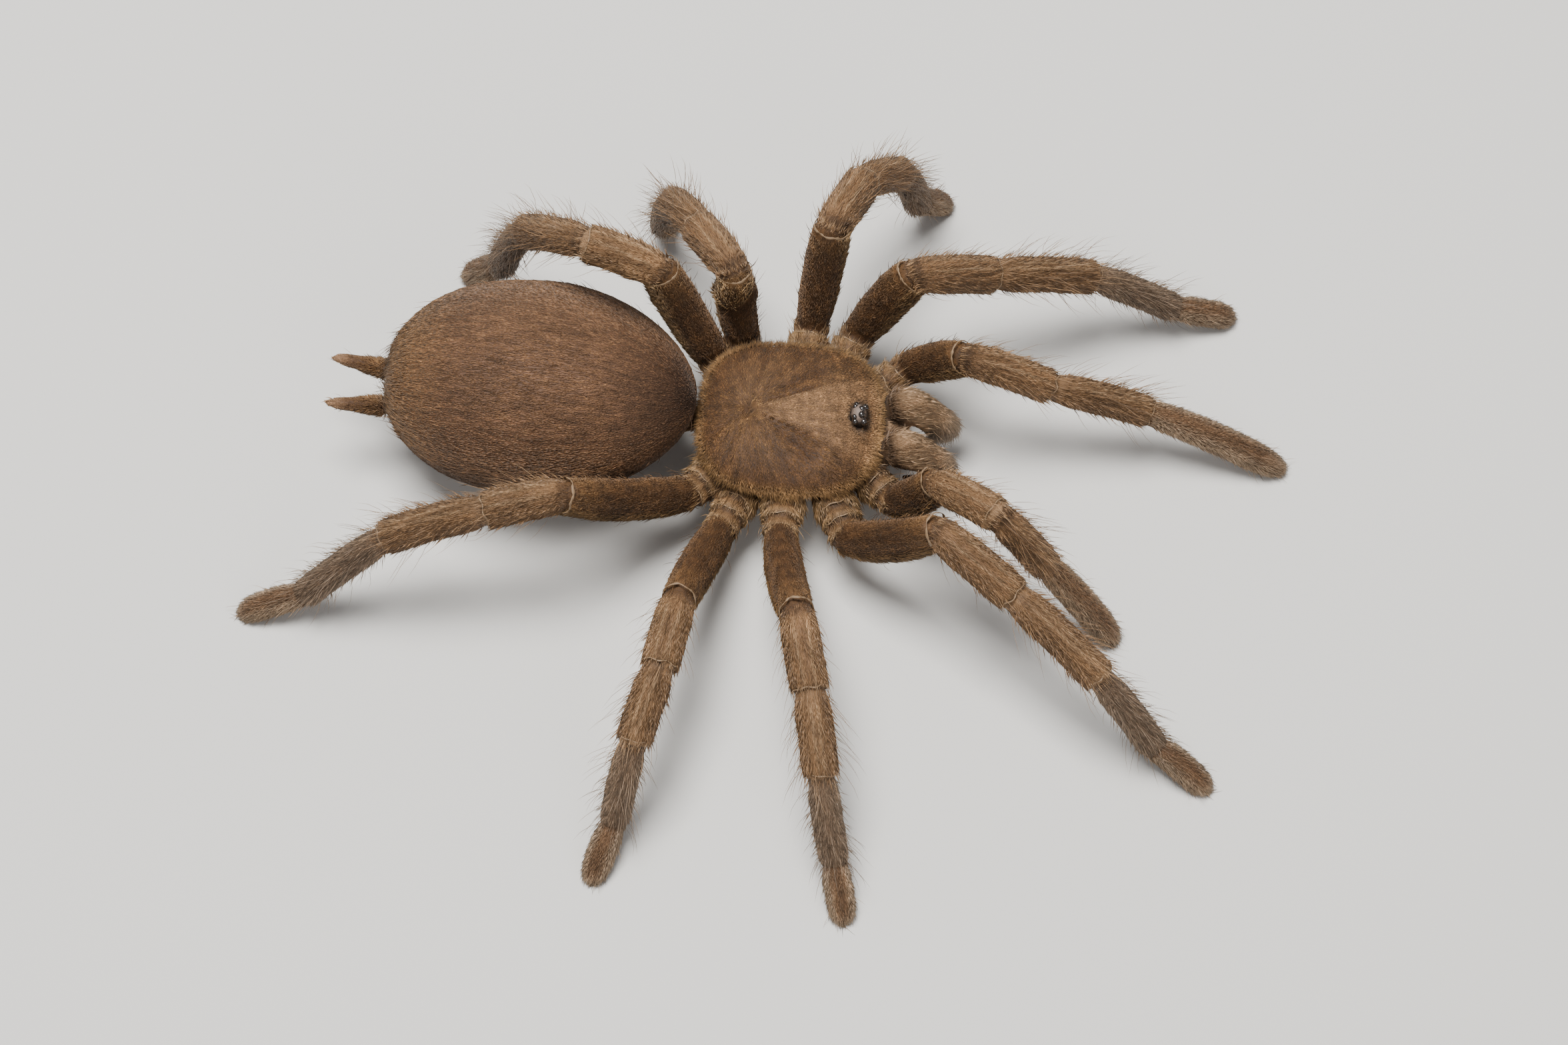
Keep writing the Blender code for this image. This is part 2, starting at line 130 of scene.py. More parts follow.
# Colours of the markings that lie over those, for the same three.
MARKINGS = {
    "abdomen front": ("150B05", "24150B", "4A311C"),
    "abdomen rear": ("573C25", "876544", "B18C5E"),
    "abdomen flank": ("45362C", "69533F", "8D7764"),
    # painted shade: darker where the shield's dome turns away from the light above, on its flanks and
    # rear
    "shaded shield flank": ("2A190B", "4B311B", "785731"),
    "shield rim": ("6A5038", "967550", "BC9C70"),
    "head wedge": ("4E3823", "846448", "B0906A"),
    "head streak": ("211205", "452B13", "6F4D27"),
    # partly the dark ring round the eyes, partly painted shade that the hair casts round the eye mound
    "mound halo and shade": ("1E1712", "42362C", "7A6858"),
    # painted shade: near black in the carved pit of the fovea
    "fovea": ("150B05", "150B05", "150B05"),
    "femur end": ("4A3420", "684C30", "8E6F4A"),
    "femur below": ("4A3722", "715639", "A58A64"),
    "pale band": ("7A6149", "A88B6C", "CDB292"),
    "dark neck": ("150C06", "2C1C10", "543B24"),
    "foot midline": ("2C1A0D", "573B22", "7E5A36"),
    "foot fringe": ("5A4636", "9C8570", "D0BEA8"),
    "spinneret tip": ("6A4E36", "94745A", "BC9E80"),
    "chelicera front": ("5E5046", "8B7A6C", "B8AA9C"),
}


def linear(value):
    """Linear light of one sRGB channel from 0 to 1."""
    return value / 12.92 if value <= 0.04045 else ((value + 0.055) / 1.055) ** 2.4


def hex_to_linear(text):
    """A colour such as 8E6F52 as three linear channels."""
    return np.array([linear(int(text[i : i + 2], 16) / 255) for i in (0, 2, 4)])


# ---------------------------------------------------------------- settings

def length_property(name, description, default, low):
    """A length that a user can change."""
    return bpy.props.FloatProperty(
        name=name, description=description, default=default * MM, min=low * MM, unit="LENGTH"
    )


def share_property(name, description, low, high):
    """A share of the normal amount that a user can change."""
    return bpy.props.FloatProperty(
        name=name, description=description, default=1.0, min=low, max=high, subtype="FACTOR"
    )


class CoatSizes(bpy.types.PropertyGroup):
    """Sizes that the whole spider shares."""

    coat_depth: length_property(
        "Coat depth", "How far the skin lies inside the outline of the solids", COAT_DEPTH, 0
    )
    skin_grain: length_property("Skin grain", "Size of the faces of the skin", 0.36, 0.1)
    hair_length: share_property(
        "Hair length", "Length of all hair, as a share of its normal length", 0.1, 3.0
    )
    hair_density: share_property(
        "Hair density", "Number of short hairs, as a share of the normal number", 0.05, 2.0
    )
    bristle_share: share_property(
        "Bristles", "Number of bristles, as a share of the normal number", 0.0, 3.0
    )


def colour_property(name, description, text):
    """A colour that a user can change, from its sRGB hex value."""
    return bpy.props.FloatVectorProperty(
        name=name, description=description, size=3, subtype="COLOR", min=0, max=1,
        default=tuple(hex_to_linear(text)),
    )


class CoatColours(bpy.types.PropertyGroup):
    """Colours outside the coat's own table."""

    eye: colour_property("Eye", "Dark lens of the eyes", "241D18")
    fang: colour_property("Fang", "Horny cuticle of the fangs", "1B0F0B")
    joint_rim: colour_property("Joint rim", "Bare pale rim round the knees", "8F7456")
    floor: colour_property("Floor", "Plain pale floor", "D9D6D0")


# ---------------------------------------------------------------- reading the solids

def unit(vectors):
    """Vectors made one long."""
    return vectors / np.maximum(np.linalg.norm(vectors, axis=-1, keepdims=True), 1e-9)


def mesh_values(mesh, name):
    """A vector for each of a mesh's points, such as its normal or its place in metres."""
    values = np.empty(len(mesh.vertices) * 3, np.float32)
    mesh.vertices.foreach_get(name, values)
    return values.reshape(-1, 3)


def mesh_places(mesh):
    """Places of a mesh's points in millimetres."""
    return mesh_values(mesh, "co").astype(float) / MM


def mesh_triangles(mesh):
    """The corners of each of a mesh's triangles."""
    mesh.calc_loop_triangles()
    corners = np.empty(len(mesh.loop_triangles) * 3, np.int32)
    mesh.loop_triangles.foreach_get("vertices", corners)
    return corners.reshape(-1, 3)


def triangle_areas(corners):
    """Areas of triangles."""
    edges = corners[:, 1:] - corners[:, :1]
    return np.linalg.norm(np.cross(edges[:, 0], edges[:, 1]), axis=1) / 2


def edge_shares(count, rng):
    """Shares of two edges of a triangle, for places spread evenly over it."""
    shares = rng.random((count, 2))
    return np.where(shares.sum(1, keepdims=True) > 1, 1 - shares, shares)


def points_of(node):
    """A node's corners, each once."""
    return np.unique(np.round(mesh_places(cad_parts[node].data), 4), axis=0)


def surface_of(node, count=6000):
    """Points spread evenly over a node's surface."""
    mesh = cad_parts[node].data
    faces = mesh_places(mesh)[mesh_triangles(mesh)]
    areas = triangle_areas(faces)
    rng = np.random.default_rng(SEED)
    picked = faces[rng.choice(len(faces), count, p=areas / areas.sum())]
    shares = edge_shares(count, rng)
    edges = picked[:, 1:] - picked[:, :1]
    return picked[:, 0] + (edges * shares[:, :, None]).sum(1)


def box_corners(node):
    """The lowest and the highest corner of a node's box."""
    return [np.array(corner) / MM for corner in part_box(node)]


def box_middle(node):
    """The middle of a node's box."""
    low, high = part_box(node)
    return np.array((low + high) / 2) / MM


def box_half(node):
    """Half the sides of a node's box."""
    low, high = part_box(node)
    return np.array((high - low) / 2) / MM


def meeting(near, far):
    """The middle between the facing ends of two neighbouring nodes."""
    ends = points_of(near), points_of(far)
    gaps = np.linalg.norm(ends[0][:, None] - ends[1][None], axis=2)
    closest = gaps.min(1).argsort()[:RING_POINTS], gaps.min(0).argsort()[:RING_POINTS]
    return (ends[0][closest[0]].mean(0) + ends[1][closest[1]].mean(0)) / 2


def far_end(node, start):
    """The middle of the end of a node that lies farthest from a point."""
    points = points_of(node)
    order = np.linalg.norm(points - start, axis=1).argsort()
    return points[order[-RING_POINTS:]].mean(0)


def share_along(points, start, run):
    """How far along a run points lie, as a share of it."""
    return (points - start) @ run / (run @ run)


def middle_at(surface, start, end, share, reach=REACH):
    """The middle of a limb solid where it has this share of the way from start to end."""
    run = end - start
    centre = surface[abs(share_along(surface, start, run) - share) < reach].mean(0)
    return centre + run * (share - share_along(centre, start, run))


# ---------------------------------------------------------------- the body's plan

STATIONS = 13  # places along each length at which its line is read
PROFILE_STATIONS = 49  # and at which its girth is kept
POLYGON_SHARE = 0.967  # mean distance of a ten-sided ring's surface from its axis, over its radius
# Where each foot's first length ends, as a share of the foot, for the four pairs of legs.
METATARSUS_SHARE = {"1": 0.620, "2": 0.627, "3": 0.620, "4": 0.654}
FEMUR_DEPTH = 1.1  # how much taller than round a femur is
COXA_GAIN = 0.12  # how much thicker than the femur's neck a coxa is
ROOT_DROP = 0.7  # of a coxa's root below its hip
CHELICERA_KNEE = (2.2, 2.4)  # back from its front and down from its top
LEAST_RADIUS = 0.3  # of a chelicera
CHELICERA_CLAIM = 1.2  # how far out a chelicera claims the skin, since it is thicker than its line
SPINNERET_COAT = 0.5  # depth of its coat, over that of the rest
PEDICEL_REACH = 3.0  # of the pedicel into the abdomen
PEDICEL_RADIUS = 1.1
# Width of the bare flesh along each length, as a share of its middle's: a neck where it sits in
# the length before, a shoulder, and a rim where the next length comes out of it.
SWELL = {
    "coxa": (
        (0, 0.8), (0.3, 0.9), (0.60, 1.06), (0.63, 0.84), (0.79, 1.06), (0.82, 0.82), (0.96, 1.0),
        (0.98, 0.84), (1, 0.84),
    ),
    "femur": (
        (0, 0.80), (0.05, 0.88), (0.3, 1.0), (0.7, 1.0), (0.93, 0.90), (0.985, 0.89), (1, 0.80),
    ),
    "patella": ((0, 0.82), (0.05, 0.92), (0.3, 1.0), (0.75, 1.02), (0.95, 1.01), (1, 0.84)),
    "tibia": ((0, 0.82), (0.06, 0.91), (0.25, 1.0), (0.8, 1.01), (0.96, 0.99), (1, 0.84)),
    "metatarsus": ((0, 0.82), (0.06, 0.91), (0.25, 1.0), (0.85, 0.99), (0.96, 0.98), (1, 0.84)),
    "tarsus": ((0, 0.78), (0.1, 0.88), (0.4, 0.94), (0.75, 0.92), (0.9, 0.82), (1, 0.52)),
}
ROOT_SHARE = (0.50, 0.31)  # where a coxa starts, as a share of its hip's place from the middle


def line_at(places, shares, line):
    """Places on a line, or vectors along it, at other shares of its length."""
    return np.stack([np.interp(places, shares, line[:, axis]) for axis in range(3)], 1)


def straight(start, end, count=STATIONS):
    """A straight line in even steps."""
    return start + (end - start) * np.linspace(0, 1, count)[:, None]


def line_part(name, kind, piece, line, radius, depth=1.0, swell=None):
    """One length of the body along a line, with its radius at each station."""
    shares = np.linspace(0, 1, len(line))
    if swell is not None:
        fine = np.linspace(0, 1, PROFILE_STATIONS)
        line = line_at(fine, shares, line)
        shares = fine
        radius = radius * np.interp(shares, *zip(*swell))
    radii = np.broadcast_to(radius, len(line)).astype(float)
    length = np.linalg.norm(np.diff(line, axis=0), axis=1).sum()
    tangents = unit(np.gradient(line, axis=0))
    return SimpleNamespace(
        name=name, kind=kind, piece=piece, line=line, radii=radii, depth=depth,
        length=length, shares=shares, tangents=tangents, claim=0.0,
    )


def bowed_part(node, kind, piece, start, end, coat):
    """One length of a limb: its bow and its girth are read from the solid."""
    surface = surface_of(node)
    run = end - start
    bows = [
        (middle_at(surface, start, end, share) - start - run * share) / math.sin(math.pi * share)
        for share in (0.35, 0.5, 0.65)
    ]
    bow = np.mean(bows, axis=0)
    line = straight(start, end) + bow * np.sin(np.pi * np.linspace(0, 1, STATIONS)[:, None])
    places = share_along(surface, start, run)
    inner = abs(places - 0.5) < 0.2
    axis = start + np.outer(places[inner], run)
    axis += bow * np.sin(np.pi * places[inner])[:, None]
    girth = np.linalg.norm(surface[inner] - axis, axis=1).mean() / POLYGON_SHARE
    depth = FEMUR_DEPTH if kind == "femur" else 1.0
    return line_part(node, kind, piece, line, girth - coat, depth, SWELL[kind])


def limb_parts(limb, coat):
    """All lengths of one leg or palp, from its root in the chest to its tip."""
    palp = limb.startswith("palp")
    nodes = [f"{limb}_{part}" for part in ("femur", "patella", "tibia")]
    foot = f"{limb}_tarsus" if palp else f"{limb}_foot"
    joints = [
        meeting(near, far) for near, far in zip(("chest_with_coxae", *nodes), (*nodes, foot))
    ]
    hip, heel = joints[0], joints[-1]
    tip = far_end(foot, heel)
    middle = box_middle("carapace")
    root = middle + (hip - middle) * (*ROOT_SHARE, 0)
    root[2] = hip[2] - ROOT_DROP
    girth = np.linalg.norm(points_of(nodes[0]) - hip, axis=1)
    girth = np.sort(girth)[:RING_POINTS].mean() + COXA_GAIN - coat
    line = straight(root, hip)
    parts = [line_part(f"{limb}_coxa", "coxa", "coat_chest", line, girth, 1, SWELL["coxa"])]
    piece = f"coat_{limb}"
    for node, kind, start, end in zip(nodes, ("femur", "patella", "tibia"), joints, joints[1:]):
        parts.append(bowed_part(node, kind, piece, start, end, coat))
    if palp:
        parts.append(bowed_part(foot, "tarsus", piece, heel, tip, coat))
        return parts
    ankle = middle_at(surface_of(foot), heel, tip, METATARSUS_SHARE[limb[-1]], REACH / 2)
    for kind, start, end in (("metatarsus", heel, ankle), ("tarsus", ankle, tip)):
        parts.append(foot_part(f"{limb}_{kind}", kind, piece, foot, start, end, coat))
    return parts


def foot_part(name, kind, piece, node, start, end, coat):
    """One length of a foot, whose solid holds two."""
    surface = surface_of(node)
    run = end - start
    places = share_along(surface, start, run)
    inner = abs(places - 0.45) < 0.15
    away = surface[inner] - start - np.outer(places[inner], run)
    girth = np.linalg.norm(away - away.mean(0), axis=1).mean() / POLYGON_SHARE
    bow = away.mean(0) * np.sin(np.pi * np.linspace(0, 1, STATIONS)[:, None])
    return line_part(name, kind, piece, straight(start, end) + bow, girth - coat, 1, SWELL[kind])


def end_of(node, axis, highest=False):
    """The middle of a node's corners that lie lowest or highest along an axis."""
    points = points_of(node)
    order = points[:, axis].argsort()
    return points[order[-RING_POINTS:] if highest else order[:RING_POINTS]].mean(0)


def spinneret_part(node, piece, coat):
    """A spinneret, whose line and girth are read from its solid at every station."""
    start, end = end_of(node, 0, highest=True), end_of(node, 0)
    surface = surface_of(node)
    run = end - start
    places = share_along(surface, start, run)
    line, radii = [], []
    for share in np.linspace(REACH, 1 - REACH, STATIONS):
        centre = middle_at(surface, start, end, share)
        away = surface[abs(places - share) < REACH] - centre
        away -= np.outer(away @ run, run) / (run @ run)
        line.append(centre)
        radii.append(np.linalg.norm(away, axis=1).mean() / POLYGON_SHARE - coat)
    return line_part(node, "spinneret", piece, np.array(line), np.array(radii))


LIMBS = [
    f"{limb}_{side}{number}"
    for limb, numbers in (("leg", ("_1", "_2", "_3", "_4")), ("palp", ("",)))
    for side in ("left", "right")
    for number in numbers
]


def body_plan(coat):
    """Every part of the spider as a line with a girth, in the frame's place."""
    parts = []
    for limb in LIMBS:
        parts += limb_parts(limb, coat)
    for side in ("left", "right"):
        node = f"chelicera_{side}"
        line, radii = chelicera_line(node, end_of(node, 0), end_of(node, 2), coat)
        parts.append(line_part(node, "chelicera", "coat_chelicerae", line, radii))
        parts[-1].claim = CHELICERA_CLAIM
        parts.append(spinneret_part(f"spinneret_{side}", f"coat_abdomen_{side}", coat * SPINNERET_COAT))
    start = end_of("pedicel", 0, highest=True)
    line = straight(start, end_of("pedicel", 0) - (PEDICEL_REACH, 0, 0), 5)
    parts.append(line_part("pedicel", "pedicel", "coat_chest", line, PEDICEL_RADIUS))
    return parts


def chelicera_line(node, start, end, coat):
    """The bent line of a chelicera, forwards and then down, and its girth."""
    surface = surface_of(node)
    back, down = CHELICERA_KNEE
    knee = (surface[:, 0].max() - back, (start[1] + end[1]) / 2, surface[:, 2].max() - down)
    knee = np.array(knee)
    pull = 2 * knee - (start + end) / 2
    share = np.linspace(0, 1, STATIONS)[:, None]
    line = (1 - share) ** 2 * start + 2 * share * (1 - share) * pull + share**2 * end
    nearest = np.linalg.norm(surface[:, None] - line[None], axis=2).argmin(1)
    radii = []
    for station, tangent in enumerate(unit(np.gradient(line, axis=0))):
        mine = surface[nearest == station]
        away = mine - line[station]
        away -= np.outer(away @ tangent, tangent)
        radii.append(np.linalg.norm(away, axis=1).mean() if len(mine) > 5 else np.nan)
    radii = np.array(radii)
    known = ~np.isnan(radii)
    radii = np.interp(np.arange(STATIONS), np.arange(STATIONS)[known], radii[known])
    return line, np.maximum(radii / POLYGON_SHARE - coat, LEAST_RADIUS)


# ---------------------------------------------------------------- shapes

# How finely each shape is cut before all of them melt into one skin.
TUBE_RINGS, TUBE_SIDES = 72, 28
SHIELD_SIDES = 96
ABDOMEN_RINGS, ABDOMEN_SIDES = 48, 72
BALL_RINGS, BALL_SIDES = 14, 20
CHEST_SIDES = 48
DOME = (0.3, 0.6, 0.85)  # radii of the rings that close a tube's end, as shares of its own
DOME_HEIGHT = 0.5  # of that end, as a share of the tube's radius
POLE_GAP = 0.03  # what a ball or the abdomen lacks at its poles, so that no ring is a point


def signed_power(value, power):
    """A power that keeps the sign."""
    return np.sign(value) * np.abs(value) ** power


def circle(count):
    """Angles in even steps round a circle."""
    return np.linspace(0, 2 * np.pi, count, endpoint=False)


def ring_axes(tangent):
    """To the side and upwards, across a line."""
    side = unit(np.cross(UP, tangent))
    return side, np.cross(tangent, side)


def tube(part):
    """Points and faces of a closed tube along a part, with domed ends."""
    places = np.linspace(0, 1, TUBE_RINGS)
    line = line_at(places, part.shares, part.line)
    radii = np.interp(places, part.shares, part.radii)
    tangents = unit(np.gradient(line, axis=0))
    dome = np.array(DOME)
    ends = []
    for index, sign in ((0, -1), (-1, 1)):
        out = radii[index] * DOME_HEIGHT * np.sqrt(1 - dome**2)
        caps = line[index] + sign * out[:, None] * tangents[index]
        ends.append((caps, radii[index] * dome, np.repeat(tangents[index][None], len(dome), 0)))
    line = np.concatenate([ends[0][0], line, ends[1][0][::-1]])
    radii = np.concatenate([ends[0][1], radii, ends[1][1][::-1]])
    tangents = np.concatenate([ends[0][2], tangents, ends[1][2]])
    side, rise = ring_axes(tangents)
    turns = circle(TUBE_SIDES)
    around = np.cos(turns)[None, :, None] * side[:, None] / part.depth
    around = around + np.sin(turns)[None, :, None] * rise[:, None] * part.depth
    points = line[:, None] + around * radii[:, None, None]
    return grid_shell(points)


def grid_shell(points):
    """A closed shell from rings of points, the first and last ring filled by a fan."""
    rings, sides = points.shape[:2]
    index = np.arange(rings * sides).reshape(rings, sides)
    after = np.roll(index, -1, axis=1)
    faces = np.stack([index[:-1], after[:-1], after[1:], index[1:]], -1).reshape(-1, 4).tolist()
    faces.append(index[0][::-1].tolist())
    faces.append(index[-1].tolist())
    return points.reshape(-1, 3), faces


SHIELD_SQUARENESS = 2.9
SHIELD_DOME_POWER = 0.75
# How far out each ring of the shield lies. Its underside starts straight below the last one.
SHIELD_SHARES = (0.02, 0.08, 0.2, 0.35, 0.5, 0.65, 0.78, 0.88, 0.95, 0.99, 0.985)
UNDER_RISE = 0.05  # height of its flat underside over the solid's
UNDER_SHARE = 0.8  # size of the last ring there
SHIELD_EDGE = 0.6  # height of the shield's edge over the solid's underside
SHIELD_MARGIN = 0.35  # what its dome stays below the solid's top
HEAD_PLACE = 4.6  # of the head's swelling, in front of the shield's middle
HEAD_RISE = 0.55
HEAD_SPREAD = 3.6
FOVEA_PLACE = -4.25  # from the shield's middle
FOVEA_BOW = 0.45  # how strongly the fovea's line bends back to its sides
FOVEA_FORWARDS = 0.30  # how far in front of its place it lies on the midline


def shield_out(x, y):
    """0 at the shield's middle and 1 at its rim."""
    half = box_half("carapace")
    return abs(x / half[0]) ** SHIELD_SQUARENESS + abs(y / half[1]) ** SHIELD_SQUARENESS


def before_fovea(x, y):
    """How far a place lies in front of the fovea's bowed line, for x from the fovea's place."""
    return x - FOVEA_FORWARDS + FOVEA_BOW * y**2


def shield_height(x, y, coat):
    """Height of the shield's skin above the floor, from its middle."""
    low, high = box_corners("carapace")
    edge = low[2] + SHIELD_EDGE
    dome = high[2] - edge - SHIELD_MARGIN
    rise = dome * np.maximum(0, 1 - shield_out(x, y)) ** SHIELD_DOME_POWER
    head = HEAD_RISE * np.exp(-(((x - HEAD_PLACE) / HEAD_SPREAD) ** 2) - (y / HEAD_SPREAD) ** 2)
    return edge - coat + rise + head * np.minimum(1, rise)


def shield_shell(coat):
    """The closed body of the shield over head and chest."""
    middle = box_middle("carapace")
    half = box_half("carapace") - coat
    turns = circle(SHIELD_SIDES)
    rings = []
    for share in SHIELD_SHARES:
        x = half[0] * share * signed_power(np.cos(turns), 2 / SHIELD_SQUARENESS)
        y = half[1] * share * signed_power(np.sin(turns), 2 / SHIELD_SQUARENESS)
        rings.append(np.stack([x, y, shield_height(x, y, coat)], 1))
    under = rings[-1].copy()
    under[:, 2] = box_corners("carapace")[0][2] + UNDER_RISE
    inner = under * (UNDER_SHARE, UNDER_SHARE, 1)
    points = np.array([*rings, under, inner]) + (middle[0], middle[1], 0)
    return grid_shell(points)


ABDOMEN_SQUARENESS = (1.85, 2.35)  # in front and behind


def abdomen_shell(coat):
    """The egg of the abdomen."""
    middle, half = box_middle("abdomen"), box_half("abdomen") - coat
    places = -np.cos(np.pi * np.linspace(POLE_GAP / 2, 1 - POLE_GAP / 2, ABDOMEN_RINGS))
    turns = circle(ABDOMEN_SIDES)
    power = np.where(places > 0, *ABDOMEN_SQUARENESS)
    size = (1 - abs(places) ** power) ** (1 / power)
    x = np.repeat(places[:, None], len(turns), 1)
    y, z = np.outer(size, np.cos(turns)), np.outer(size, np.sin(turns))
    return grid_shell(np.stack([x, y, z], -1) * half + middle)


def ball_shell(centre, half):
    """A rounded lump of three half sizes."""
    rises = np.linspace(POLE_GAP - 1, 1 - POLE_GAP, BALL_RINGS) * np.pi / 2
    turns = circle(BALL_SIDES)
    x, y = np.outer(np.cos(rises), np.cos(turns)), np.outer(np.cos(rises), np.sin(turns))
    z = np.repeat(np.sin(rises)[:, None], len(turns), 1)
    return grid_shell(np.stack([x, y, z], -1) * half + centre)


# Width of a chelicera at its rear, as a share of its solid's, what it loses of that towards the
# front, and how far its top comes down there.
TAPER_WIDTH, TAPER_LOSS, TAPER_DROP = 0.94, 0.28, 1.5


def taper_forwards(points):
    """Narrows and lowers a chelicera's solid towards its front."""
    low, high = points.min(0), points.max(0)
    share = step(0.15, 1.0, (points[:, 0] - low[0]) / (high[0] - low[0]))
    middle = (low[1] + high[1]) / 2
    points[:, 1] = middle + (points[:, 1] - middle) * (TAPER_WIDTH - TAPER_LOSS * share)
    points[:, 2] -= TAPER_DROP * share * step(low[2], high[2], points[:, 2])
    return points


def solid_shell(node, shrink):
    """A node's own solid, rounded off by subdivision and drawn in by a distance."""
    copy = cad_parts[node].copy()
    copy.data = copy.data.copy()
    bpy.context.scene.collection.objects.link(copy)
    copy.hide_set(False)
    select_only(copy)
    bpy.ops.object.mode_set(mode="EDIT")
    bpy.ops.mesh.select_all(action="SELECT")
    bpy.ops.mesh.remove_doubles(threshold=0.001 * MM)
    bpy.ops.mesh.tris_convert_to_quads()
    bpy.ops.object.mode_set(mode="OBJECT")
    apply_modifier(copy, "SUBSURF", levels=2, render_levels=2)
    faces = mesh_triangles(copy.data).tolist()
    points = mesh_places(copy.data) - mesh_values(copy.data, "normal") * shrink
    bpy.data.objects.remove(copy)
    return points, faces


CHEST_OVERLAP = 0.3  # how far the breastplate reaches up into the shield
# Share of its height, and half its length and half its width there.
CHEST_PROFILE = ((0, 4.6, 2.9), (0.1, 6.0, 4.2), (0.35, 7.3, 5.6), (1.0, 7.9, 6.6))


def chest_shell(coat):
    """The breastplate below the shield, between the coxae."""
    middle = box_middle("carapace")
    low = box_corners("chest_with_coxae")[0][2]
    top = box_corners("carapace")[0][2] + CHEST_OVERLAP
    rings = []
    turns = circle(CHEST_SIDES)
    for share, length, width in CHEST_PROFILE:
        height = low + coat + (top - low - coat) * share
        x, y = length * np.cos(turns), width * np.sin(turns)
        rings.append(np.stack([x, y, np.full_like(x, height)], 1))
    points = np.array(rings) + (middle[0], middle[1], 0)
    return grid_shell(points)


# ---------------------------------------------------------------- meshes and objects

def new_object(name, points, faces):
    """An object at the origin from points in millimetres and lists of corners."""
    mesh = bpy.data.meshes.new(name)
    mesh.from_pydata((np.asarray(points) * MM).tolist(), [], faces)
    mesh.update()
    made = bpy.data.objects.new(name, mesh)
    bpy.context.scene.collection.objects.link(made)
    return made


def join_shells(shells):
    """Several shells as one list of points and faces."""
    points, faces, count = [], [], 0
    for some, corners in shells:
        points.append(some)
        faces += [[index + count for index in face] for face in corners]
        count += len(some)
    return np.concatenate(points), faces


def select_only(made):
    """Selects one object and makes it the active one."""
    bpy.ops.object.select_all(action="DESELECT")
    made.select_set(True)
    bpy.context.view_layer.objects.active = made


def apply_modifier(made, kind, **settings):
    """Adds a modifier with its settings and applies it."""
    select_only(made)
    modifier = made.modifiers.new(kind.lower(), kind)
    for key, value in settings.items():
        setattr(modifier, key, value)
    bpy.ops.object.modifier_apply(modifier=modifier.name)


# ---------------------------------------------------------------- where a point of the skin is

def of_kind(survey, kind):
    """Which points of a survey are of a kind."""
    return survey.kind == KINDS.index(kind)


def of_kinds(survey, kinds):
    """Which points of a survey are of some kinds."""
    return np.isin(survey.kind, [KINDS.index(kind) for kind in kinds])


def spans_of(survey, other):
    """Length of the part that each point is on, and another value off the parts with a line."""
    return np.array([part.length for part in plan.parts] + [other] * 4)[survey.part]


BEYOND = 2.0  # how far from a part's surface the skin is looked through for its points
END_WEIGHT = 3  # how much more a distance past a part's end counts than one to its side
HAIR_PULL = (0.45, 0.55)  # where the abdomen's hair starts to draw together, and over how much


def blank_survey(count):
    """Fields of the skin's points: which kind and part, place along and round the part, the lie
    of the hair, and how near the point's own part is."""
    return SimpleNamespace(
        kind=np.full(count, KINDS.index("sternum")),
        part=np.full(count, -1),
        along=np.zeros(count),
        dorsal=np.zeros(count),
        lateral=np.zeros(count),
        lie=np.tile((-1.0, 0.0, 0.0), (count, 1)),
        gap=np.full(count, 6.0),
    )


def take(survey, chosen, kind, part, gap, **fields):
    """Writes the fields of those points that lie nearer to this part than to any before."""
    nearer = gap < survey.gap[chosen]
    index = chosen[nearer]
    survey.gap[index] = gap[nearer]
    survey.kind[index] = KINDS.index(kind)
    survey.part[index] = part
    for name, values in fields.items():
        getattr(survey, name)[index] = values[nearer]


def survey_line(survey, points, number, part):
    """Claims the points on a part that follows a line."""
    reach = part.radii.max() * part.depth + BEYOND
    low, high = part.line.min(0) - reach, part.line.max(0) + reach
    chosen = np.flatnonzero(((points > low) & (points < high)).all(1))
    if not len(chosen):
        return
    mine = points[chosen]
    starts, runs = part.line[:-1], np.diff(part.line, axis=0)
    steps = np.einsum("nkc,kc->nk", mine[:, None] - starts[None], runs) / (runs**2).sum(1)
    steps = np.clip(steps, 0, 1)
    feet = starts[None] + runs[None] * steps[:, :, None]
    gaps = np.linalg.norm(mine[:, None] - feet, axis=2)
    best = gaps.argmin(1)
    rows = np.arange(len(mine))
    share = (best + steps[rows, best]) / (len(part.line) - 1)
    away = mine - feet[rows, best]
    tangent = unit(line_at(share, part.shares, part.tangents))
    side, rise = ring_axes(tangent)
    outward = unit(away)
    radius = np.interp(share, part.shares, part.radii)
    past = np.maximum(
        (part.line[0] - mine) @ part.tangents[0], (mine - part.line[-1]) @ part.tangents[-1]
    )
    gap = gaps[rows, best] - radius - part.claim
    gap = gap + END_WEIGHT * np.maximum(past, 0) * (part.claim == 0)
    take(
        survey, chosen, part.kind, number, gap,
        along=share, dorsal=(outward * rise).sum(1), lateral=(outward * side).sum(1), lie=tangent,
    )


def survey_abdomen(survey, points, number):
    """Claims the points on the abdomen, whose hair lies to the rear."""
    middle, half = box_middle("abdomen"), box_half("abdomen")
    place = (points - middle) / half
    power = np.where(place[:, 0] > 0, *ABDOMEN_SQUARENESS)
    across = np.hypot(place[:, 1], place[:, 2])
    out = (abs(place[:, 0]) ** power + across**power) ** (1 / power)
    gap = (out - 1) * half.min() + COAT_DEPTH
    pull = np.clip((-place[:, 0] - HAIR_PULL[0]) / HAIR_PULL[1], 0, 1)[:, None]
    lie = unit((-1.0, 0.0, 0.0) - place * (0, 1, 1) * pull)
    take(
        survey, np.arange(len(points)), "abdomen", number, gap,
        along=(1 - place[:, 0]) / 2,
        dorsal=place[:, 2] / np.maximum(across, 1e-6),
        lateral=place[:, 1] / np.maximum(across, 1e-6),
        lie=lie,
    )


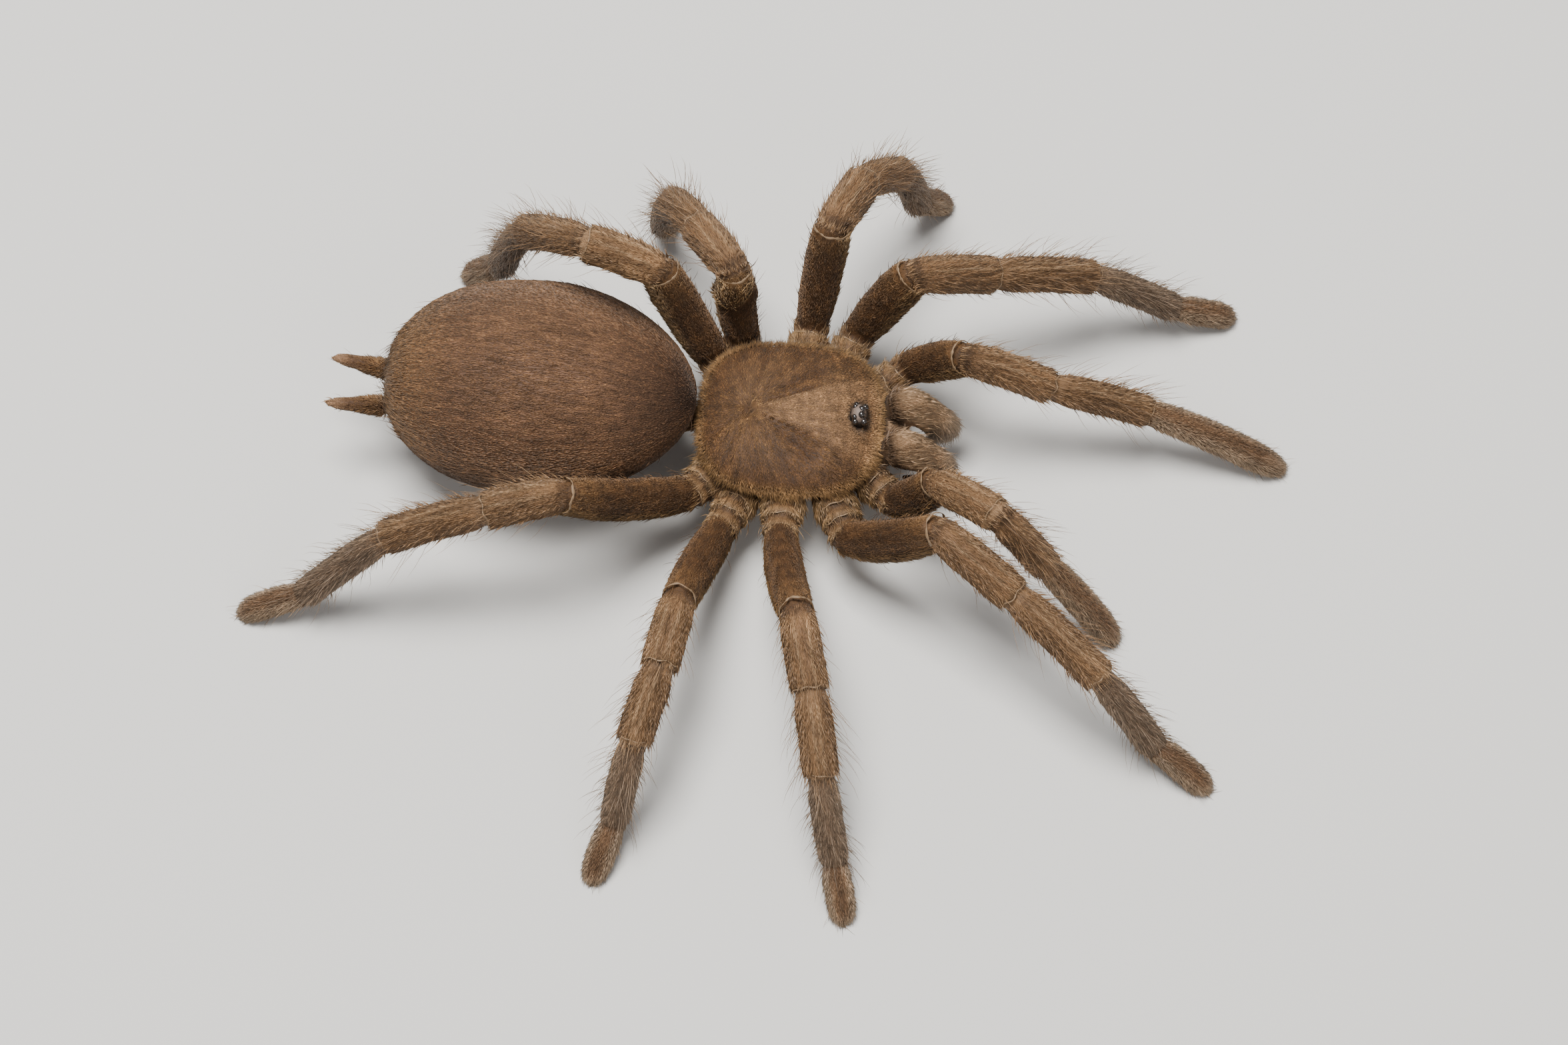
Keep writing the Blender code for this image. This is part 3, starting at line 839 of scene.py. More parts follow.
def survey_shield(survey, points, number):
    """Claims the points on the shield, whose hair lies outwards from the fovea."""
    middle = box_middle("carapace")
    low = box_corners("carapace")[0][2]
    x, y = (points - middle)[:, 0], (points - middle)[:, 1]
    chosen = np.flatnonzero((shield_out(x, y) < 1.02) & (points[:, 2] > low - 0.2))
    lie = unit(np.stack([x - FOVEA_PLACE, y, 0 * x], 1))[chosen]
    take(
        survey, chosen, "carapace", number, np.full(len(chosen), -2.0),
        along=x[chosen], dorsal=np.ones(len(chosen)), lateral=y[chosen], lie=lie,
    )


def survey_bare_and_shaded(survey, points, number):
    """Claims the bare points: under the eye mound, where they lie hidden, and in the gap behind the
    chelicerae, whose near black is painted shade under the shield's front edge.
    """
    middle, half = box_middle("eye_mound"), box_half("eye_mound") * (1, MOUND_SQUEEZE, 1)
    place = (points - middle) / half
    under = (np.hypot(place[:, 0], place[:, 1]) < 0.95) & (place[:, 2] > -1.5)
    low, high = box_corners("chelicera_left")
    rim = box_corners("carapace")[1][0]
    centre = box_middle("carapace")[1]
    gap = (points[:, 0] > rim - 0.15) & (points[:, 0] < low[0] + 0.1)
    gap &= abs(points[:, 1] - centre) < high[1] - centre + 0.3
    gap &= points[:, 2] > low[2] + 2
    chosen = np.flatnonzero(under | gap)
    take(
        survey, chosen, "bare", number, np.full(len(chosen), -3.0),
        along=np.full(len(chosen), 0.5), dorsal=np.ones(len(chosen)),
        lateral=np.zeros(len(chosen)), lie=survey.lie[chosen],
    )


def survey_skin(points, parts):
    """Where each point of the skin is. The numbers after the parts are abdomen, shield, bare and
    breastplate."""
    survey = blank_survey(len(points))
    for number, part in enumerate(parts):
        survey_line(survey, points, number, part)
    survey_abdomen(survey, points, len(parts))
    survey_shield(survey, points, len(parts) + 1)
    survey_bare_and_shaded(survey, points, len(parts) + 2)
    rest = survey.part < 0
    survey.part[rest] = len(parts) + 3
    middle = box_middle("carapace")
    place = (points - middle)[rest]
    survey.along[rest] = place[:, 0] / 20 + 0.5
    survey.dorsal[rest] = -1
    survey.lateral[rest] = np.clip(place[:, 1] / 9, -1, 1)
    return survey


# ---------------------------------------------------------------- markings

STRIPES_APART = {"patella": 0.36, "tibia": 0.20}  # from the midline, as shares of the radius
COXA_RINGS = (0.60, 0.79, 0.97)  # where along it a coxa has its folds
# Where each kind's dark neck starts to fade and is gone, in millimetres, and how dark it is.
NECKS = (
    ("patella", 0.10, 0.55, 0.7),
    ("tibia", 0.10, 0.55, 0.7),
    ("metatarsus", 0.10, 0.55, 0.7),
    ("tarsus", 0.10, 0.55, 0.7),
    # on the chelicerae the dark base is partly their own, partly painted shade under the shield's front
    # edge
    ("chelicera", 0.4, 1.2, 0.85),
)


def mix(first, second, share):
    """Colours between two, by a share for each point."""
    share = np.clip(share, 0, 1)[:, None]
    return first * (1 - share) + second * share


def step(low, high, value):
    """0 below low, 1 above high and smooth between."""
    share = np.clip((value - low) / (high - low), 0, 1)
    return share * share * (3 - 2 * share)


WAVES = 9  # as many waves make up a pattern
FULL_TURN = 6.3  # in radians, for a wave's chance start


def falloff(value, place, width):
    """1 at a place and falling to nearly 0 at two widths from it."""
    return np.exp(-(((value - place) / width) ** 2))


def patches(points, size, seed):
    """Soft uneven patches of about a size, from -1 to 1."""
    rng = np.random.default_rng(seed)
    total = np.zeros(len(points))
    for _ in range(WAVES):
        direction = unit(rng.normal(size=3))
        wave = 2 * np.pi / (size * rng.uniform(0.7, 1.6))
        total += np.sin(points @ direction * wave + rng.uniform(0, FULL_TURN))
    return np.clip(total / 3.2, -1, 1)


def streaks(survey, across, along, seed):
    """Uneven streaks that follow the lie, of about these sizes, from -1 to 1."""
    rng = np.random.default_rng(seed)
    places = lie_places(survey)
    total = np.zeros(len(places))
    for _ in range(WAVES):
        waves = 2 * np.pi / np.array((across, along)) * rng.uniform(0.6, 1.6, 2)
        waves[1] *= rng.choice((-1, 1))
        total += np.sin(places[:, :2] @ waves + 2.4 * survey.part + rng.uniform(0, FULL_TURN))
    return np.clip(total / 3.0, -1, 1)


def lay(colour, mine, name, tone, share):
    """Lays a marking over the colours of some points, by a share for each."""
    colour[mine] = mix(colour[mine], hex_to_linear(MARKINGS[name][tone]), share)


def markings(survey, points, tone):
    """Colour at each point: tone 0 is the ground, 1 the hair and 2 its tip. Skin and coat share it."""
    table = np.array([hex_to_linear(TONES[kind][tone]) for kind in KINDS])
    colour = table[survey.kind]
    abdomen_colours(colour, survey, tone)
    shield_colours(colour, survey, tone)
    limb_colours(colour, survey, tone)
    neck_colours(colour, survey, tone)
    mine = of_kind(survey, "spinneret")
    lay(colour, mine, "spinneret tip", tone, 0.9 * step(0.6, 0.95, survey.along[mine]))
    uneven = 0.10 * patches(points, 7.0, 3) + 0.08 * patches(points, 2.4, 4)
    uneven += STREAK_DEPTH[survey.kind] * streaks(survey, 1.3, 9.0, 5)
    uneven += 0.8 * STREAK_DEPTH[survey.kind] * streaks(survey, 0.6, 4.0, 6)
    uneven += MOTTLE_DEPTH[survey.kind] * (patches(points, 1.1, 7) + 0.7 * patches(points, 0.45, 8))
    return np.clip(colour * WARMTH * np.exp(uneven)[:, None], 0.002, 1)


def abdomen_colours(colour, survey, tone):
    """Darker in front on top, warmer to the rear and greyish low on the flanks."""
    mine = of_kind(survey, "abdomen")
    along, dorsal = survey.along[mine], survey.dorsal[mine]
    front = 1 - step(-0.02, 0.36, along + 0.12 * (1 - dorsal))
    lay(colour, mine, "abdomen front", tone, 0.95 * front)
    lay(colour, mine, "abdomen rear", tone, 0.6 * step(0.72, 0.98, along))
    lay(colour, mine, "abdomen flank", tone, 0.7 * (1 - step(-0.5, 0.25, dorsal)))


def shield_streaks(survey):
    """How dark the radial streaks of the shield are at its points, from 0 to 1."""
    mine = of_kind(survey, "carapace")
    x, y = survey.along[mine] - FOVEA_PLACE, survey.lateral[mine]
    far = np.hypot(x, y)
    turn = abs(np.arctan2(y, x))
    beside_head = falloff(turn, 0.60, 0.16) * step(1.5, 4.5, far)
    groove = falloff(turn, 0.40, 0.05) * step(1.0, 2.0, far) * (1 - step(6.5, 8.0, far))
    thorax = sum(falloff(turn, place, 0.085) for place in (0.92, 1.35, 1.85, 2.4))
    found = 0.9 * beside_head + 0.8 * groove + 0.45 * thorax * step(0.8, 2.5, far)
    return np.clip(found, 0, 1) * (1 - step(8.0, 10.0, far))


def shield_colours(colour, survey, tone):
    """A pale wedge over the head, ochre streaks at its sides and a pale golden rim, with painted shade on
    the flanks, the rear and the fovea, and partly in the halo round the eye mound.
    """
    mine = of_kind(survey, "carapace")
    x, y = survey.along[mine], survey.lateral[mine]
    half = box_half("carapace")
    # Painted shade on the flanks and the rear, where the dome turns away from the light above.
    outer = np.maximum(step(0.2, 0.95, abs(y) / half[1]), step(0.45, 0.8, -x / half[0]))
    lay(colour, mine, "shaded shield flank", tone, 0.75 * outer)
    turn = abs(np.arctan2(y, x - FOVEA_PLACE))
    lay(colour, mine, "head wedge", tone, (1 - step(0.32, 0.42, turn)) * step(-5.0, -1.0, x))
    lay(colour, mine, "head streak", tone, 0.8 * shield_streaks(survey))
    mound = box_middle("eye_mound") - box_middle("carapace")
    half = box_half("eye_mound")
    far = np.hypot((x - mound[0]) / half[0], (y - mound[1]) / half[1])
    # Partly the mound's own dark ring, partly painted shade that the hair casts round it.
    lay(colour, mine, "mound halo and shade", tone, 0.9 * (1 - step(0.85, 1.5, far)))
    lay(colour, mine, "shield rim", tone, 0.65 * step(*FRINGE, shield_out(x, y)))
    bend = before_fovea(x - FOVEA_PLACE, y)
    lobes = np.exp(-((bend / 0.5) ** 2) - (y / 1.3) ** 2) * step(-0.3, 0.2, bend)
    lay(colour, mine, "shield rim", tone, 0.6 * lobes)
    # Painted shade: the carved pit of the fovea is painted near black.
    slit = np.exp(-(((bend / 0.20) ** 2 + (y / 0.95) ** 2) ** 2))
    lay(colour, mine, "fovea", tone, 0.95 * slit)


def limb_colours(colour, survey, tone):
    """Femora dark above and olive beige below, striped knees and shins, ringed coxae, and feet
    with a brown midline."""
    mine = of_kind(survey, "femur")
    lay(colour, mine, "femur end", tone, 0.7 * step(0.65, 1.0, survey.along[mine]))
    lay(colour, mine, "femur below", tone, 0.7 * (1 - step(-0.5, 0.25, survey.dorsal[mine])))
    for kind, apart in STRIPES_APART.items():
        mine = of_kind(survey, kind)
        along, lateral = survey.along[mine], abs(survey.lateral[mine])
        apart = apart * (1.1 - 0.35 * along)
        stripe = falloff(lateral, apart, 0.07) * (survey.dorsal[mine] > 0)
        stripe = stripe * step(0.08, 0.2, along) * (1 - step(0.8, 0.95, along))
        lay(colour, mine, "pale band", tone, 0.8 * stripe)
        lay(colour, mine, "pale band", tone, 0.5 * step(0.9, 0.96, along))
    mine = of_kind(survey, "tarsus")
    along, dorsal, lateral = survey.along[mine], survey.dorsal[mine], survey.lateral[mine]
    side = np.clip(step(0.5, 0.8, abs(lateral)) + step(0.82, 0.97, along), 0, 1)
    lay(colour, mine, "foot fringe", tone, 0.5 * side * step(-0.6, 0.1, dorsal))
    middle = np.exp(-((lateral / 0.48) ** 4)) * (dorsal > 0) * (1 - step(0.72, 0.97, along))
    lay(colour, mine, "foot midline", tone, 0.55 * middle)
    mine = of_kind(survey, "coxa")
    along = survey.along[mine]
    lips = sum(falloff(along, place - 0.025, 0.03) for place in COXA_RINGS)
    grooves = sum(falloff(along, place + 0.025, 0.025) for place in COXA_RINGS)
    lay(colour, mine, "pale band", tone, 0.45 * lips)
    lay(colour, mine, "dark neck", tone, 0.75 * grooves)


def neck_colours(colour, survey, tone):
    """Dark where a length comes out of the one before, on the chelicerae partly painted shade under the
    shield's front edge, and a grey front on the chelicerae.
    """
    spans = spans_of(survey, 0.0)
    for kind, low, high, share in NECKS:
        mine = of_kind(survey, kind)
        near = 1 - step(low, high, survey.along[mine] * spans[mine])
        lay(colour, mine, "dark neck", tone, share * near)
    mine = of_kind(survey, "chelicera")
    lay(colour, mine, "chelicera front", tone, 0.8 * step(0.45, 0.8, survey.along[mine]))


# ---------------------------------------------------------------- materials

def fill_inputs(tree, node, inputs):
    """Links or sets a node's inputs, from pairs of an input and a socket or a value."""
    for name, source in inputs:
        if isinstance(source, bpy.types.NodeSocket):
            tree.links.new(source, node.inputs[name])
        else:
            node.inputs[name].default_value = source


def add_node(tree, kind, inputs=(), **settings):
    """A node with its settings, its inputs linked or set."""
    node = tree.nodes.new(kind)
    for key, value in settings.items():
        setattr(node, key, value)
    fill_inputs(tree, node, inputs)
    return node


def new_material(name, inputs):
    """A material with an empty tree but for its output and its shader with these inputs."""
    material = bpy.data.materials.new(name)
    material.use_nodes = True
    tree, shader = material.node_tree, material.node_tree.nodes["Principled BSDF"]
    fill_inputs(tree, shader, inputs)
    return material, tree, shader


def relief(tree, shader, place, scale, detail, strength, depth):
    """Dents the surface with noise, down to a depth in millimetres, and gives the noise."""
    noise = add_node(
        tree, "ShaderNodeTexNoise", [("Vector", place), ("Scale", scale), ("Detail", detail)]
    )
    bump = add_node(
        tree, "ShaderNodeBump",
        [("Height", noise.outputs["Fac"]), ("Strength", strength), ("Distance", depth * MM)],
    )
    fill_inputs(tree, shader, [("Normal", bump.outputs["Normal"])])
    return noise.outputs["Fac"]


SHEEN = (1.0, 0.86, 0.72, 1.0)  # of the finest down, seen along the surface
CHITIN_IOR = 1.56  # refractive index of hard chitin
# The colours of a mix node: its two inputs and its output.
MIX_FIRST, MIX_SECOND, MIX_RESULT = 6, 7, 2


def hair_material():
    """Chitin hair: thin brown bristles, half gloss, so that each one catches a narrow glint."""
    material, tree, shader = new_material(
        "chitin hair",
        [("Roughness", 0.50), ("Specular IOR Level", 0.40), ("Sheen Weight", 0.05),
         ("Sheen Roughness", 0.4), ("Sheen Tint", SHEEN)],
    )
    colour = add_node(tree, "ShaderNodeAttribute", attribute_name="coat")
    fill_inputs(tree, shader, [("Base Color", colour.outputs["Color"])])
    return material


def skin_material():
    """Velvet over chitin: fine hair too short to stand out, drawn as streaks along its lie."""
    material, tree, shader = new_material(
        "velvet over chitin",
        [("Roughness", 0.65), ("Specular IOR Level", 0.3), ("Sheen Weight", 0.15),
         ("Sheen Roughness", 0.3), ("Sheen Tint", SHEEN)],
    )
    colour = add_node(tree, "ShaderNodeAttribute", attribute_name="coat")
    lie = add_node(tree, "ShaderNodeAttribute", attribute_name="lie_place")
    # One unit is a millimetre: streaks are about an eighth of one wide and nearly one long.
    stretched = add_node(
        tree, "ShaderNodeMapping", [("Vector", lie.outputs["Vector"]), ("Scale", (8.0, 1.1, 1.0))]
    )
    streak = relief(tree, shader, stretched.outputs["Vector"], 1.0, 3.0, 0.7, 0.06)
    tone = add_node(
        tree, "ShaderNodeMapRange",
        [("Value", streak), ("From Min", 0.3), ("From Max", 0.7), ("To Min", 0.72),
         ("To Max", 1.25)],
    )
    shaded = add_node(
        tree, "ShaderNodeVectorMath", [(0, colour.outputs["Color"])], operation="SCALE"
    )
    fill_inputs(tree, shaded, [("Scale", tone.outputs["Result"])])
    fill_inputs(tree, shader, [("Base Color", shaded.outputs["Vector"])])
    return material


def lens_material(colour):
    """Cornea of a simple eye: clear hard cuticle over a dark cup, with a wet shine."""
    return new_material(
        "eye cornea",
        [("Base Color", (*colour, 1)), ("Roughness", 0.14), ("IOR", CHITIN_IOR),
         ("Coat Weight", 1.0), ("Coat Roughness", 0.02)],
    )[0]


def mound_material(middle, size):
    """Bare cuticle of the eye mound: black at its rim and between the eyes a clouded grey brown,
    half polished."""
    material, tree, shader = new_material("dark glossy cuticle", [("Roughness", 0.55)])
    place = add_node(tree, "ShaderNodeTexCoord").outputs["Object"]
    centred = add_node(
        tree, "ShaderNodeMapping",
        [("Vector", place), ("Location", tuple(middle)), ("Scale", (size.x / 2, size.y / 2, size.z))],
        vector_type="TEXTURE",
    )
    out = add_node(tree, "ShaderNodeVectorMath", [(0, centred.outputs["Vector"])], operation="LENGTH")
    cloud = add_node(
        tree, "ShaderNodeTexNoise", [("Vector", place), ("Scale", 2500.0), ("Detail", 3.0)]
    )
    edge = add_node(
        tree, "ShaderNodeMath",
        [(0, cloud.outputs["Fac"]), (1, 0.5), (2, out.outputs["Value"])], operation="MULTIPLY_ADD",
    )
    rim = add_node(
        tree, "ShaderNodeMapRange",
        [("Value", edge.outputs["Value"]), ("From Min", 0.74), ("From Max", 1.06)],
    ).outputs["Result"]
    pale, dark = hex_to_linear("77665A"), hex_to_linear("17110D")
    blend = add_node(
        tree, "ShaderNodeMix",
        [("Factor", rim), (MIX_FIRST, (*pale, 1)), (MIX_SECOND, (*dark, 1))], data_type="RGBA",
    )
    fill_inputs(tree, shader, [("Base Color", blend.outputs[MIX_RESULT])])
    # Wrinkles and pores a tenth of a millimetre across.
    relief(tree, shader, place, 9000.0, 3.0, 0.8, 0.07)
    return material


def horn_material(colour):
    """Hard black-brown cuticle of the fangs, polished by use, with faint growth marks."""
    material, tree, shader = new_material(
        "hard dark cuticle",
        [("Base Color", (*colour, 1)), ("Roughness", 0.22), ("IOR", CHITIN_IOR)],
    )
    # Growth marks about a quarter of a millimetre across.
    place = add_node(tree, "ShaderNodeTexCoord").outputs["Object"]
    relief(tree, shader, place, 4000.0, 2.0, 0.2, 0.02)
    return material


def rim_material(colour):
    """Bare joint skin: pale, dry and leathery, with fine creases."""
    material, tree, shader = new_material("bare joint skin", [("Roughness", 0.6)])
    place = add_node(tree, "ShaderNodeTexCoord").outputs["Object"]
    creases = relief(tree, shader, place, 3000.0, 3.0, 0.6, 0.08)
    dark = tuple(colour[channel] * 0.6 for channel in range(3))
    blend = add_node(
        tree, "ShaderNodeMix",
        [("Factor", creases), (MIX_FIRST, (*dark, 1)), (MIX_SECOND, (*colour, 1))],
        data_type="RGBA",
    )
    fill_inputs(tree, shader, [("Base Color", blend.outputs[MIX_RESULT])])
    return material


def floor_material(colour):
    """Matt paper: plain and pale, with a grain too fine to draw the eye."""
    inputs = [("Base Color", (*colour, 1)), ("Roughness", 0.9)]
    material, tree, shader = new_material("matt paper", inputs)
    place = add_node(tree, "ShaderNodeTexCoord").outputs["Object"]
    relief(tree, shader, place, 900.0, 2.0, 0.1, 0.1)
    return material


# ---------------------------------------------------------------- the skin

def carve_shield(points, survey):
    """Presses the fovea and the radial furrows into the shield."""
    mine = np.flatnonzero(of_kind(survey, "carapace"))
    x, y = survey.along[mine] - FOVEA_PLACE, survey.lateral[mine]
    pit = 0.85 * np.exp(-((before_fovea(x, y) / 0.30) ** 2) - (y / 0.95) ** 2)
    bowl = 0.30 * np.exp(-((x / 1.6) ** 2) - (y / 1.9) ** 2)
    points[mine, 2] -= pit + bowl + 0.38 * shield_streaks(survey)


def opaque(colours):
    """Colours with a fourth channel of ones."""
    return np.concatenate([colours, np.ones((len(colours), 1))], 1)


def paint(made, name, kind, values):
    """Stores values on the points of an object's mesh."""
    attribute = made.data.attributes.new(name, kind, "POINT")
    key = "color" if kind == "FLOAT_COLOR" else "vector"
    attribute.data.foreach_set(key, np.ascontiguousarray(values, np.float32).ravel())


def lie_places(survey):
    """Millimetres round and along each point's part, for streaks that follow the hair, and the
    part's number."""
    girth = np.array([part.radii.mean() for part in plan.parts] + [9.0, 1.0, 1.0, 7.0])
    length = np.array([part.length for part in plan.parts] + [32.0, 1.0, 1.0, 20.0])
    turn = np.arctan2(survey.lateral, survey.dorsal)
    places = np.stack([turn * girth[survey.part], survey.along * length[survey.part], 0 * turn], 1)
    shield = of_kind(survey, "carapace")
    x, y = survey.along[shield] - FOVEA_PLACE, survey.lateral[shield]
    places[shield, 0] = np.arctan2(y, x) * 6
    places[shield, 1] = np.hypot(x, y)
    places[:, 2] = survey.part
    return places


FLESH = [node for node in sorted(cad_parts) if not node.startswith(("eye_", "fang_"))]
plan = SimpleNamespace(parts=None, points=None, faces=None, normals=None, survey=None)
SKIN_FLOOR = 0.02  # no point of the skin lies lower
KNUCKLE = 0.98  # radius of the ball in a joint, over that of the length that starts there
CHELICERA_SHRINK = 0.3  # of the coat's depth, as its long hair lies flat
SPINNERET_SHRINK = 0.05  # of a spinneret's skin inside its solid
BALLED = ("femur", "patella", "tibia", "metatarsus", "tarsus")
# Lumps that fill the gap behind the chelicerae: back from their rear, down from their top, and
# half sizes, for the one behind each and for the one between.
NECK_LUMPS = ((0.6, 3.6, (2.0, 1.7, 1.6)), (0.2, 4.2, (2.6, 2.2, 1.7)))


def neck_lump(node, middle, lump):
    """A lump behind a chelicera, with this place from side to side."""
    low, high = box_corners(node)
    back, down, half = lump
    return ball_shell(np.array((low[0] - back, middle, high[2] - down)), half)


def flesh_shells(coat):
    """Closed shells that overlap and make up all the flesh."""
    shells = []
    for part in plan.parts:
        if part.kind == "chelicera":
            points, faces = solid_shell(part.name, coat * CHELICERA_SHRINK)
            shells.append((taper_forwards(points), faces))
        elif part.kind == "spinneret":
            shells.append(solid_shell(part.name, SPINNERET_SHRINK))
        else:
            shells.append(tube(part))
    for part in plan.parts:
        if part.kind in BALLED:
            shells.append(ball_shell(part.line[0], (part.radii[0] * KNUCKLE,) * 3))
    shells += [abdomen_shell(coat), shield_shell(coat), chest_shell(coat)]
    for side in ("left", "right"):
        node = f"chelicera_{side}"
        low, high = box_corners(node)
        shells.append(neck_lump(node, (low[1] + high[1]) / 2, NECK_LUMPS[0]))
    shells.append(neck_lump(node, box_middle("carapace")[1], NECK_LUMPS[1]))
    return shells


def build_skin(sizes):
    """One surface over all the flesh, and what the coat needs to know of it."""
    coat = sizes.coat_depth / MM
    plan.parts = body_plan(coat)
    skin = new_object("skin", *join_shells(flesh_shells(coat)))
    apply_modifier(skin, "REMESH", mode="VOXEL", voxel_size=sizes.skin_grain)
    apply_modifier(skin, "SMOOTH", factor=0.5, iterations=2)
    points = mesh_places(skin.data)
    survey = survey_skin(points, plan.parts)
    carve_shield(points, survey)
    points[:, 2] = np.maximum(points[:, 2], SKIN_FLOOR)
    skin.data.vertices.foreach_set("co", (points * MM).astype(np.float32).ravel())
    skin.data.update()
    skin.data.shade_smooth()
    plan.points, plan.survey = mesh_places(skin.data), survey
    plan.faces, plan.normals = mesh_triangles(skin.data), mesh_values(skin.data, "normal")
    ground, hair = (markings(survey, plan.points, tone) for tone in (0, 1))
    paint(skin, "coat", "FLOAT_COLOR", opaque(ground * 0.45 + hair * 0.55))
    paint(skin, "lie_place", "FLOAT_VECTOR", lie_places(survey))
    skin.data.materials.append(skin_material())
    return skin


# ---------------------------------------------------------------- hair

TUFTS = 4093  # different tufts before they repeat
TUFT_SIZE = (0.32, 1.5)  # across the lie and along it
BLADE_BEND = 5  # the most degrees between the two halves of a straight hair
ROOT_DEPTH = 0.08  # of a hair's root below the skin
HAIR_FLOOR = 0.03  # no point of a hair lies lower, but for its root
FRINGE_LEVEL = 4  # how strongly the shield's fringe is turned to lie level
ROOT_SHADE = 0.62  # how much of the ground's colour a root has
TIP_SHADE = 0.35  # how much of the tip's colour the last points before it have
PATCH = 0.0015  # half the width of a hair's patch on the bake map
# The two shapes of hair: corners of their triangles, each point's place on the hair's patch, and
# for the points between root and tip how much of TIP_SHADE each has.
BLADE = SimpleNamespace(
    faces=np.array(((0, 2, 1), (3, 1, 2), (0, 1, 3), (0, 3, 2))),
    patch=np.array(((0, -1), (1, 0), (-1, 0), (0, 1))) * PATCH,
    weights=(0.5, 0.5),
)
STRAND = SimpleNamespace(
    faces=np.array((
        (3, 1, 0), (2, 3, 0), (1, 2, 0), (2, 1, 4), (2, 4, 5), (3, 2, 5), (3, 5, 6), (1, 3, 6),
        (1, 6, 4), (5, 4, 7), (6, 5, 7), (4, 6, 7),
    )),
    patch=np.array((
        (0, -1), (1, -0.3), (-1, -0.3), (0, -0.3), (1, 0.3), (-1, 0.3), (0, 0.3), (0, 1),
    )) * PATCH,
    weights=(0.5, 0.5, 0.5, 1.0, 1.0, 1.0),
)


def survey_of(chosen):
    """The survey at the first corner of the chosen faces."""
    first = plan.faces[chosen, 0]
    fields = ("kind", "part", "along", "dorsal", "lateral")
    return SimpleNamespace(**{name: getattr(plan.survey, name)[first] for name in fields})


def blend_corners(values, corners, shares):
    """Values of the skin's points at places inside faces."""
    picked = values[corners]
    if picked.ndim == 2:
        return (picked * shares).sum(1)
    return (picked * shares[:, :, None]).sum(1)


def sample_skin(chosen, density, rng):
    """Roots on the chosen faces, as even as their density allows: corners of each root's face and
    the shares of these corners."""
    faces = plan.faces[chosen]
    wanted = triangle_areas(plan.points[faces]) * density
    number = np.floor(wanted + rng.random(len(wanted))).astype(int)
    index = np.repeat(np.arange(len(chosen)), number)
    shares = edge_shares(len(index), rng)
    return faces[index], np.concatenate([1 - shares.sum(1, keepdims=True), shares], 1)


def roots_on(chosen, density, rng):
    """Everything a hair needs to know at its root."""
    corners, shares = sample_skin(chosen, density, rng)
    survey = plan.survey
    first = corners[:, 0]
    at = SimpleNamespace(kind=survey.kind[first], part=survey.part[first], count=len(first))
    for name in ("along", "dorsal", "lateral", "lie"):
        setattr(at, name, blend_corners(getattr(survey, name), corners, shares))
    at.place = blend_corners(plan.points, corners, shares)
    at.normal = unit(blend_corners(plan.normals, corners, shares))
    level = step(*FRINGE, shield_out(at.along, at.lateral)) * of_kind(at, "carapace")
    at.normal = unit(at.normal + FRINGE_LEVEL * level[:, None] * UP)
    at.lie = unit(at.lie - at.normal * (at.lie * at.normal).sum(1, keepdims=True))
    return at


def stray(at, degrees):
    """Turns each hair's lie about the skin's normal."""
    angle = np.radians(degrees)[:, None]
    across = np.cross(at.normal, at.lie)
    at.lie = unit(at.lie * np.cos(angle) + across * np.sin(angle))


def rising(at, degrees):
    """The way each hair runs where it rises from the skin by this much."""
    angle = np.radians(degrees)[:, None]
    return at.lie * np.cos(angle) + at.normal * np.sin(angle)


def blade_points(at, length, width, rise_root, rise_tip):
    """Four points of each straight hair: its root below the skin, its two sides and its tip. So
    plain a shape turns into a leaf if it bends much."""
    across = unit(np.cross(at.normal, at.lie))
    rise = (rise_root + rise_tip) / 2
    bend = np.clip(rise_root - rise_tip, -BLADE_BEND, BLADE_BEND)
    run = rising(at, rise + bend / 2)
    over = np.cross(run, across)
    broad = at.place + run * (0.45 * length)[:, None]
    tip = broad + rising(at, rise - bend / 2) * (0.55 * length)[:, None]
    broad = broad + over * (0.4 * width)[:, None]
    half = across * (width / 2)[:, None]
    return np.stack([at.place - at.normal * ROOT_DEPTH, broad + half, broad - half, tip], 1)


def strand_points(at, length, width, rise_root, rise_tip):
    """Points of each bent hair: its root below the skin, two rows of three corners and its tip."""
    across = unit(np.cross(at.normal, at.lie))
    centre = at.place
    rows = [at.place - at.normal * ROOT_DEPTH]
    for share, taper in ((0, 1.0), (0.5, 0.72)):
        run = rising(at, rise_root + (rise_tip - rise_root) * share)
        centre = centre + run * (length / 3)[:, None]
        half = across * (width * taper / 2)[:, None]
        thick = np.cross(run, across) * (width * taper * 0.6)[:, None]
        rows += [centre + half, centre - half, centre + thick]
    run = rising(at, rise_root + (rise_tip - rise_root))
    rows.append(centre + run * (length / 3)[:, None])
    return np.stack(rows, 1)


def bake_places(at, rows):
    """Each root's place on an unwrap of the skin: a strip for every part, round by along."""
    strip = np.array([rows.index(part) for part in at.part])
    half = box_half("carapace")
    shield = of_kind(at, "carapace")
    turn = np.arctan2(at.lateral, at.dorsal) / (2 * np.pi) + 0.5
    turn = np.where(shield, at.lateral / (2 * half[1]) + 0.5, turn)
    along = np.where(shield, at.along / (2 * half[0]) + 0.5, at.along)
    u = 0.004 + 0.992 * np.clip(turn, 0, 1)
    v = 1 / len(rows) * (strip + 0.02 + 0.96 * np.clip(along, 0, 1))
    return np.stack([u, v], 1)


def tuft_codes(at, rng):
    """A number for the tuft that each hair belongs to: tufts are cells across and along the lie."""
    places = lie_places(at)
    u = places[:, 0] / TUFT_SIZE[0] + rng.uniform(-0.3, 0.3, at.count)
    column = np.floor(u).astype(np.int64)
    v = places[:, 1] / TUFT_SIZE[1] + 0.37 * column + rng.uniform(-0.2, 0.2, at.count)
    row = np.floor(v).astype(np.int64)
    # Large primes keep neighbouring cells apart.
    return (column * 7919 + row * 104729 + at.part * 1299709) % TUFTS


